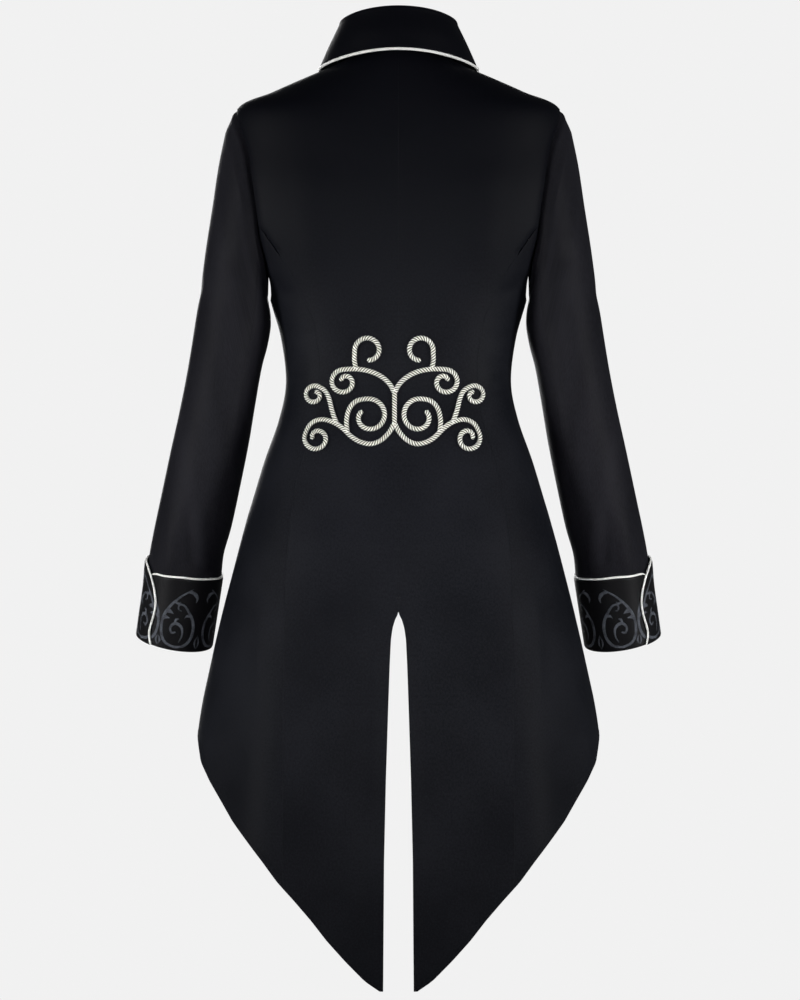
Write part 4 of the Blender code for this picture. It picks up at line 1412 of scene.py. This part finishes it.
@dataclass
class Collar:
    """Stand and fall of the collar, with the piping on the leaf edge, in millimetres."""

    room: Workroom
    form: Form
    thickness: float = 1.5
    fold: tuple[float, ...] = (62.5, 69, 60, 51.0, 60.0, -35)
    edge: tuple[float, ...] = (91, 88, 104, -0.5, 14, -105)
    piping_radius: float = 1.65
    stand_reach: float = 0.74
    leaf_reach: float = 0.62
    stand_cut: tuple[float, float] = (0.42, 0.085)
    fall_cut: tuple[float, float] = (0.46, 0.115)

    def oval(self, shape: tuple[float, ...], turns: np.ndarray) -> np.ndarray:
        """Points of an oval about the neck.

        Args:
            shape: Half width, back, front and the heights at the side, back and front.
            turns: Turns from the centre back.

        Returns:
            One point for each turn.
        """
        half, back, front, z_side, z_back, z_front = shape
        sine, cosine = np.sin(turns), np.cos(turns)
        depth = np.where(cosine > 0, back, front)
        radius = 1 / np.hypot(sine / half, cosine / depth)
        height = z_side + (np.where(cosine > 0, z_back, z_front) - z_side) * cosine**2
        return np.column_stack((radius * sine, radius * cosine, height))

    def build(self, panels: BodyPanels) -> None:
        """Build the stand, the fall and its piping.

        Args:
            panels: The body, whose neck seam the stand is sewn to.
        """
        quarter = math.pi / 2
        end = self.form.turn_at(-panels.overlap, 0, True)
        last = quarter + (end - quarter) * self.stand_reach
        turns = np.linspace(-last, last, 180)
        base = self.form.ring(np.abs(turns), 0) * np.column_stack((np.sign(turns), np.ones((len(turns), 2))))
        base[:, 2] += 0.5 + np.where(turns < 0, panels.lap_lift(self.form.ring(np.abs(turns), 0)), 0) * 0.5
        fold = self.oval(self.fold, turns)
        swell = np.column_stack((np.sin(turns), np.cos(turns), np.zeros(len(turns))))
        stand = np.array([base + (fold - base) * share - swell * 1.5 * math.sin(math.pi * share)
                          for share in np.linspace(0, 0.985, 22)])
        self.add("collar_stand", stand, self.stand_cut, ["back_left_cloth", "back_right_cloth"])
        leaf_last = quarter + (end - quarter) * self.leaf_reach
        turns = np.linspace(-leaf_last, leaf_last, 200)
        fold, edge = self.oval(self.fold, turns), self.oval(self.edge, turns)
        out = unit((edge - fold) * (1, 1, 0))
        up = np.array((0, 0, 1.0))
        crown = resample(np.array(((-0.2, 0.6), (0.6, 2.4), (2.6, 3.0), (4.8, 1.4), (6.1, -3.0))), 0.9)
        rows = [fold + out * away + up * rise for away, rise in crown]
        start = rows[-1]
        for share in np.linspace(0, 1, 26)[1:]:
            belly = 1.0 * math.sin(math.pi * share) + 0.9 * math.sin(math.pi * share) ** 3
            rows.append(start + (edge - start) * share + out * (belly * (1 - 0.75 * np.sin(turns[:, None]) ** 2)))
        leaf = np.array(rows)
        normals = self.add("collar_fall", leaf, self.fall_cut, ["collar_stand"])
        away = unit(leaf[-1] - leaf[-2])
        path = resample(leaf[-1][::4] + away[::4] * (self.piping_radius + 0.1) + normals[-1][::4] * 0.1, 1.4)
        ups = np.column_stack([np.interp(np.linspace(0, 1, len(path)), np.linspace(0, 1, len(turns)),
                                         normals[-1][:, axis]) for axis in range(3)])
        piping = self.room.tube("collar_piping_cord", path, ups, self.piping_radius)
        self.room.trim(piping, "piping", self.room.piping, node="collar_piping")
        log.info("collar: stand, fall and piping")

    def add(self, name: str, points: np.ndarray, cut: tuple[float, float], rests: list[str]) -> np.ndarray:
        """One sheet of the collar.

        Args:
            name: Node that it stands for.
            points: Rows of points.
            cut: Flat size in metres.
            rests: What it is sewn to.

        Returns:
            Its outward normals.
        """
        normals = normals_of(points, points.mean(axis=1, keepdims=True) * (0, 0, 1))
        face = points + normals * (0.5 * self.thickness if name == "collar_fall" else 0)
        item = self.room.grid(f"{name}_cloth", face, np.stack((run(points, 1), -run(points)), axis=2), normals)
        self.room.sew(item, self.thickness, self.room.cloth, "coat_cloth", name, flat=cut, held="folded",
                      rests_on=rests)
        return normals


@dataclass
class BraidWork:
    """Twisted cord couched on the back of the waist in paired scrolls, in millimetres."""

    room: Workroom
    form: Form
    half_width: float = 2.95
    half_height: float = 2.0
    pitch: float = 9.6
    stem_x: float = 4.5
    stem_z: float = -397.0
    stem_half: float = 22.0
    sunk: float = 0.3
    map_rows: tuple[float, float] = (-490, -300)
    map_reach: float = 126
    map_step: float = 3.0
    spread: float = 0.98
    right_spread: dict[str, float] = field(default_factory=lambda: {"sweep": 0.95, "volute": 0.96, "curl": 0.97})
    strands: dict[str, tuple] = field(default_factory=lambda: {
        "arm": (((0.6, 17.5), (2.6, 23.4), (6.8, 29.6), (15.6, 37.3), (28, 43), (42.6, 45.7)),
                (58.5, 31.1), 14.4, 2.6, 90, -440),
        "curl": (((44.4, 44.8), (44.9, 49.0), (46.4, 56.5)), (31.0, 67.2), 15.2, 11.2, -12, 285),
        "sweep": (((0.6, -17.5), (2.8, -23.4), (8.2, -31.0), (16.6, -38.4), (28, -42.1), (41, -38.9), (50.7, -32.4),
                   (58.8, -24.2), (66.9, -18.2), (75.5, -14.4), (84.5, -13.0), (92.6, -15.2), (98.8, -20.6)),
                  (90.2, -34.8), 13.8, 3.6, 30, -410),
        "volute": (((54.0, -29.6), (55.0, -22.6), (55.2, -12.5), (51.6, 0.3), (43.4, 8.6)), (30, -8.7), 19.6, 8.7,
                   84, 316),
        "scroll": (((66.2, -18.6), (68.4, -13.4), (71.4, -4.6), (73.4, 3.0), (75.6, 12.0), (79.4, 20.4)),
                   (92.2, 16.0), 11.0, 3.4, 128, -395),
    })

    def __post_init__(self) -> None:
        """Map how far back the cloth stands under the braid, in rows of places from the centre line out."""
        self.depth = np.array([[self.form.back_depth(x, z) for x in np.arange(0, self.map_reach, self.map_step)]
                               for z in np.arange(*self.map_rows, self.map_step)])

    def curve(self, lead: tuple, centre: tuple[float, float], first: float, last: float, start: float, sweep: float
              ) -> np.ndarray:
        """Flat path of one strand: lead points and then a spiral.

        Args:
            lead: Places before the spiral.
            centre: Centre of the spiral.
            first: First radius.
            last: Last radius.
            start: First angle in degrees.
            sweep: Turn of the spiral in degrees.

        Returns:
            Points at even steps.
        """
        points = [np.array(point, float) for point in lead]
        steps = max(8, int(abs(sweep) / 15))
        for index in range(steps + 1):
            share = index / steps
            radius = last + (first - last) * (1 - share**2.1)
            turn = math.radians(start + sweep * share)
            points.append(np.array(centre) + radius * np.array((math.cos(turn), math.sin(turn))))
        return smoothed(resample(np.array(points), 0.5), 14)

    def lay(self, name: str, flat: np.ndarray, hand: int = 1) -> None:
        """Lay one strand of twisted cord on the back.

        Args:
            name: Node that it stands for.
            flat: Its path seen from behind.
            hand: Way of the twist.
        """
        depth = self.depth
        column = np.clip(np.abs(flat[:, 0]) / self.map_step, 0, depth.shape[1] - 1.001)
        row = np.clip((flat[:, 1] - self.map_rows[0]) / self.map_step, 0, depth.shape[0] - 1.001)
        low, part = column.astype(int), column % 1
        base, up = row.astype(int), row % 1
        near = depth[base, low] * (1 - part) + depth[base, low + 1] * part
        far = depth[base + 1, low] * (1 - part) + depth[base + 1, low + 1] * part
        path = np.column_stack((flat[:, 0], near * (1 - up) + far * up, flat[:, 1]))
        slope_x = (depth[base, low + 1] - depth[base, low]) / self.map_step * np.sign(flat[:, 0])
        slope_z = (depth[base + 1, low] - depth[base, low]) / self.map_step
        out = unit(np.column_stack((-slope_x, np.ones(len(flat)), -slope_z)))
        path = path + out * (self.half_height - self.sunk)
        side = unit(np.cross(unit(np.gradient(path, axis=0)), out))
        lengths = run(path)
        ends = np.clip(np.minimum(lengths, lengths[-1] - lengths) / self.half_width, 0, 1)
        size = np.sqrt(np.clip(1 - (1 - ends) ** 2, 0, 1))
        turns = np.linspace(0, 2 * math.pi, 21)
        ply = np.abs(np.cos(1.5 * (turns[None, :] - hand * 2 * math.pi * lengths[:, None] / self.pitch))) ** 1.3
        radius = size[:, None] * (0.64 + 0.36 * ply)
        points = (path[:, None] + side[:, None] * (self.half_width * radius * np.cos(turns))[..., None]
                  + out[:, None] * (self.half_height * radius * np.sin(turns))[..., None])
        cut = np.stack(np.broadcast_arrays(self.half_width * turns[None, :], lengths[:, None]), axis=2)
        # crown: how far each point faces away from the cloth, which the braid's finish reads to paint shade on the
        # cord's underside; ply also sets its painted highlight and groove shade.
        crown = np.broadcast_to(np.sin(turns)[None, :], ply.shape)
        item = self.room.grid(f"{name}_cord", points, cut, shades={"ply": ply, "crown": crown}, closed=True)
        self.room.trim(item, "braid", self.room.braid, node=name)

    def build(self) -> None:
        """Lay the stem and the paired strands."""
        heights = np.arange(self.stem_half, -self.stem_half - 0.1, -0.5)
        self.lay("braid_stem", np.column_stack((np.full(len(heights), self.stem_x), self.stem_z + heights)))
        for strand, numbers in self.strands.items():
            flat = self.curve(*numbers) * self.spread
            for side in Side:
                wide = self.right_spread.get(strand, 1.0) if side is Side.RIGHT else 1.0
                laid = np.column_stack((self.stem_x + side.value * wide * flat[:, 0], self.stem_z + flat[:, 1]))
                self.lay(f"braid_{strand}_{side.word}", laid, side.value)
        log.info("braid: stem and %d paired strands", len(self.strands))


@dataclass
class Closure:
    """Buttons down the centre front with their buttonholes, and the tack above the vent, in millimetres."""

    room: Workroom
    form: Form
    heights: tuple[float, ...] = (-112, -184, -256, -328, -396)
    tack_height: float = -611
    rise: float = 3.2
    hole_length: float = 18.0
    hole_shift: float = 7.0
    shank: float = 3.3
    eye_radius: float = 0.75
    eye_reach: float = 1.7
    thread_radius: float = 0.3
    profile: tuple[tuple[float, float], ...] = (
        (0.0, 0.2), (5.6, 0.2), (6.9, 0.8), (7.5, 1.7), (7.3, 2.5), (6.7, 3.0), (6.0, 3.0), (5.3, 2.4), (4.6, 2.1),
        (0.0, 1.9))

    def middle(self, height: float) -> tuple[Vector, Vector, Vector]:
        """Place of the centre front.

        Args:
            height: The height.

        Returns:
            The place, with its outward and upward directions.
        """
        ring = self.form.ring
        level = float(np.interp(-height, [-ring(np.array([math.pi]), at)[0, 2] for at in np.linspace(0, 14, 400)],
                                np.linspace(0, 14, 400)))
        point = ring(np.array([math.pi]), level)[0]
        above = ring(np.array([math.pi]), level - 0.05)[0] - ring(np.array([math.pi]), level + 0.05)[0]
        up = Vector(above).normalized()
        out = Vector((1, 0, 0)).cross(up).normalized()
        return Vector(point), -out if out.y > 0 else out, up

    def stitch(self, work: bmesh.types.BMesh, size: tuple[float, float, float], place: tuple[float, float, float],
               turn: float = 0.0, faces: tuple[int, int] = (6, 4)) -> None:
        """One bead of thread.

        Args:
            work: Mesh that it goes in.
            size: Its width, height and depth.
            place: Its middle.
            turn: Turn in the face of the cloth.
            faces: Faces round it and over it.
        """
        bead = bmesh.ops.create_uvsphere(work, u_segments=faces[0], v_segments=faces[1], radius=0.5)["verts"]
        bmesh.ops.scale(work, verts=bead, vec=size)
        bmesh.ops.rotate(work, verts=bead, cent=(0, 0, 0), matrix=Matrix.Rotation(turn, 3, "Z"))
        bmesh.ops.translate(work, verts=bead, vec=place)

    def button(self, number: int, height: float) -> None:
        """Sew on one button.

        Args:
            number: Its number from the top.
            height: Its height.
        """
        point, out, up = self.middle(height)
        across = Vector((1, 0, 0))
        work = bmesh.new()
        rim = [work.verts.new((radius, 0, lift)) for radius, lift in self.profile]
        edges = [work.edges.new(pair) for pair in zip(rim, rim[1:])]
        bmesh.ops.spin(work, geom=rim + edges, cent=(0, 0, 0), axis=(0, 0, 1), angle=2 * math.pi, steps=40,
                       use_merge=True)
        bmesh.ops.remove_doubles(work, verts=work.verts, dist=0.001)
        for turn in range(4):
            angle = math.radians(45 + 90 * turn)
            found = bmesh.ops.create_circle(work, cap_ends=True, segments=12, radius=self.eye_radius)["verts"]
            place = (self.eye_reach * math.cos(angle), self.eye_reach * math.sin(angle), 2.02)
            bmesh.ops.translate(work, verts=found, vec=place)
            for face in {face for vertex in found for face in vertex.link_faces}:
                face.material_index = 1
        for offset in (-1.2, 1.2):
            for lift in (-0.28, 0.28):
                rod = bmesh.ops.create_cone(work, cap_ends=True, segments=8, radius1=self.thread_radius,
                                            radius2=self.thread_radius, depth=3.1,
                                            matrix=Matrix.Rotation(math.pi / 2, 4, "Y"))["verts"]
                bmesh.ops.translate(work, verts=rod, vec=(0, offset + lift, 2.35))
                for face in {face for vertex in rod for face in vertex.link_faces}:
                    face.material_index = 1
        bmesh.ops.recalc_face_normals(work, faces=work.faces)
        self.place(work, point + out * self.shank, across, up, out)
        item = self.room.piece(f"button_{number}_sewn", work)
        self.room.trim(item, "button", self.room.button, self.room.thread, node=f"button_{number}")

    def place(self, work: bmesh.types.BMesh, point: Vector, across: Vector, up: Vector, out: Vector) -> None:
        """Carry a small mesh to a place on the front.

        Args:
            work: The mesh.
            point: The place.
            across: Direction of its X.
            up: Direction of its Y.
            out: Direction of its Z.
        """
        for vertex in work.verts:
            at = point + across * vertex.co.x + up * vertex.co.y + out * vertex.co.z
            vertex.co = at * MM
        for face in work.faces:
            face.smooth = True

    def buttonhole(self, number: int, height: float) -> None:
        """Work one buttonhole in the right front, stitched over with thread.

        Args:
            number: Its number from the top.
            height: Its height.
        """
        point, out, up = self.middle(height)
        across = Vector((1, 0, 0))
        half, cap = 0.5 * self.hole_length, 1.3
        work = bmesh.new()
        for turn in np.linspace(0, 2 * math.pi, 60, endpoint=False):
            wide = math.copysign(half, math.cos(turn)) + cap * math.cos(turn) - self.hole_shift
            self.stitch(work, (1.8, 0.7, 0.5), (wide, cap * math.sin(turn), 0.15), turn)
        for index in range(22):
            wide = -self.hole_shift - half + (index + 0.5) / 22 * 2 * half
            for tall in (-cap, cap):
                self.stitch(work, (0.75, 1.9, 0.5), (wide, tall, 0.15))
        self.place(work, point + out * self.rise, across, up, out)
        self.room.trim(self.room.piece(f"buttonhole_{number}", work), "coat_cloth", self.room.thread)

    def tack(self) -> None:
        """The bar tack at the head of the vent."""
        work = bmesh.new()
        for index in range(9):
            self.stitch(work, (0.7, 0.9, 1.9), ((index - 4) * 0.6, 0, 0), faces=(8, 5))
        depth = self.form.back_depth(0, self.tack_height)
        for vertex in work.verts:
            vertex.co = Vector((vertex.co.x, depth + 0.1 + 0.5 * vertex.co.y, vertex.co.z + self.tack_height)) * MM
        for face in work.faces:
            face.smooth = True
        self.room.trim(self.room.piece("vent_tack", work), "coat_cloth", self.room.thread)

    def build(self) -> None:
        """Build the buttons, buttonholes and tack."""
        for number, height in enumerate(self.heights, 1):
            self.button(number, height)
            self.buttonhole(number, height)
        self.tack()
        log.info("closure: %d buttons with their buttonholes, and the vent's tack", len(self.heights))


@dataclass(frozen=True)
class Softbox:
    """One soft lamp: its place, what it looks at, its size in metres, its power and its spread in degrees."""

    place: tuple[float, float, float]
    target: tuple[float, float, float]
    size: tuple[float, float]
    power: float
    spread: float = 180.0

    def light(self, name: str) -> None:
        """Hang the lamp.

        Args:
            name: Its name.
        """
        lamp = bpy.data.lights.new(name, "AREA")
        lamp.shape = "RECTANGLE"
        lamp.size, lamp.size_y = self.size
        lamp.energy = self.power
        lamp.spread = math.radians(self.spread)
        item = hang(name, lamp)
        item.location = self.place
        aim = Vector(self.target) - Vector(self.place)
        item.rotation_euler = aim.to_track_quat("-Z", "Y").to_euler()


@dataclass
class Studio:
    """Pale floor and surroundings, soft lamps, and the camera behind the coat."""

    floor_height: float = -1.35
    floor_radius: float = 1.9
    surround: float = 0.88
    fill: float = 0.07
    camera_place: tuple[float, float, float] = (-0.00174, 4.5, -0.5011)
    lens: float = 139.66
    lamps: tuple[Softbox, ...] = (
        Softbox((0.0, 3.3, -0.5), (0.0, 0.0, -0.50), (0.6, 0.3), 1.35, 25),
        Softbox((0.0, 2.6, 2.2), (0.0, 0.0, -0.2), (1.6, 1.0), 3),
        Softbox((2.9, 1.5, -0.35), (0.1, 0.0, -0.38), (0.8, 1.1), 4.4, 36),
        Softbox((-2.9, 1.5, -0.35), (-0.1, 0.0, -0.38), (0.8, 1.1), 4.4, 36),
        Softbox((0.5, -3.2, 0.2), (0.0, 0.0, -0.45), (1.8, 1.8), 72),
        Softbox((1.6, 0.0, -0.3), (1.6, 0.0, -1.3), (1.2, 3.0), 12, 120),
        Softbox((-1.6, 0.0, -0.3), (-1.6, 0.0, -1.3), (1.2, 3.0), 12, 120),
    )

    def build(self) -> None:
        """Build the floor, the surroundings, the lamps and the camera."""
        work = bmesh.new()
        bmesh.ops.create_circle(work, cap_ends=True, segments=96, radius=self.floor_radius)
        bmesh.ops.translate(work, verts=work.verts, vec=(0, 0, self.floor_height))
        floor = mesh_of("studio_floor", work)
        floor.data.materials.append(StudioPaper().make())
        for number, lamp in enumerate(self.lamps, 1):
            lamp.light(f"softbox_{number}")
        self.surroundings()
        camera = bpy.data.cameras.new("camera")
        camera.lens = self.lens
        camera.sensor_width = 36
        item = hang("camera", camera)
        item.location = self.camera_place
        item.rotation_euler = (math.pi / 2, 0, math.pi)
        bpy.context.scene.camera = item
        bpy.context.scene.view_settings.view_transform = "Standard"
        log.info("studio: floor, %d softboxes and the camera", len(self.lamps))

    def surroundings(self) -> None:
        """Pale surroundings that light the coat less than they show."""
        world = bpy.data.worlds.new("studio")
        bpy.context.scene.world = world
        world.use_nodes = True
        tree = world.node_tree
        tree.nodes.clear()
        rays = tree.nodes.new("ShaderNodeLightPath")
        mix = tree.nodes.new("ShaderNodeMixShader")
        output = tree.nodes.new("ShaderNodeOutputWorld")
        tree.links.new(rays.outputs["Is Camera Ray"], mix.inputs[0])
        for socket, strength in ((1, self.fill), (2, self.surround)):
            pale = tree.nodes.new("ShaderNodeBackground")
            pale.inputs["Color"].default_value = (1, 1, 1, 1)
            pale.inputs["Strength"].default_value = strength
            tree.links.new(pale.outputs[0], mix.inputs[socket])
        tree.links.new(mix.outputs[0], output.inputs["Surface"])


def main() -> None:
    """Build the coat and its studio."""
    logging.basicConfig(level=logging.INFO, format="%(name)s: %(message)s")
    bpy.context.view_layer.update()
    room, form = Workroom(), Form()
    panels = BodyPanels(room, form)
    panels.build()
    Sleeves(room, form).build()
    Cuffs(room).build()
    Collar(room, form).build(panels)
    BraidWork(room, form).build()
    Closure(room, form).build()
    Studio().build()


if __name__ == "__main__":
    main()
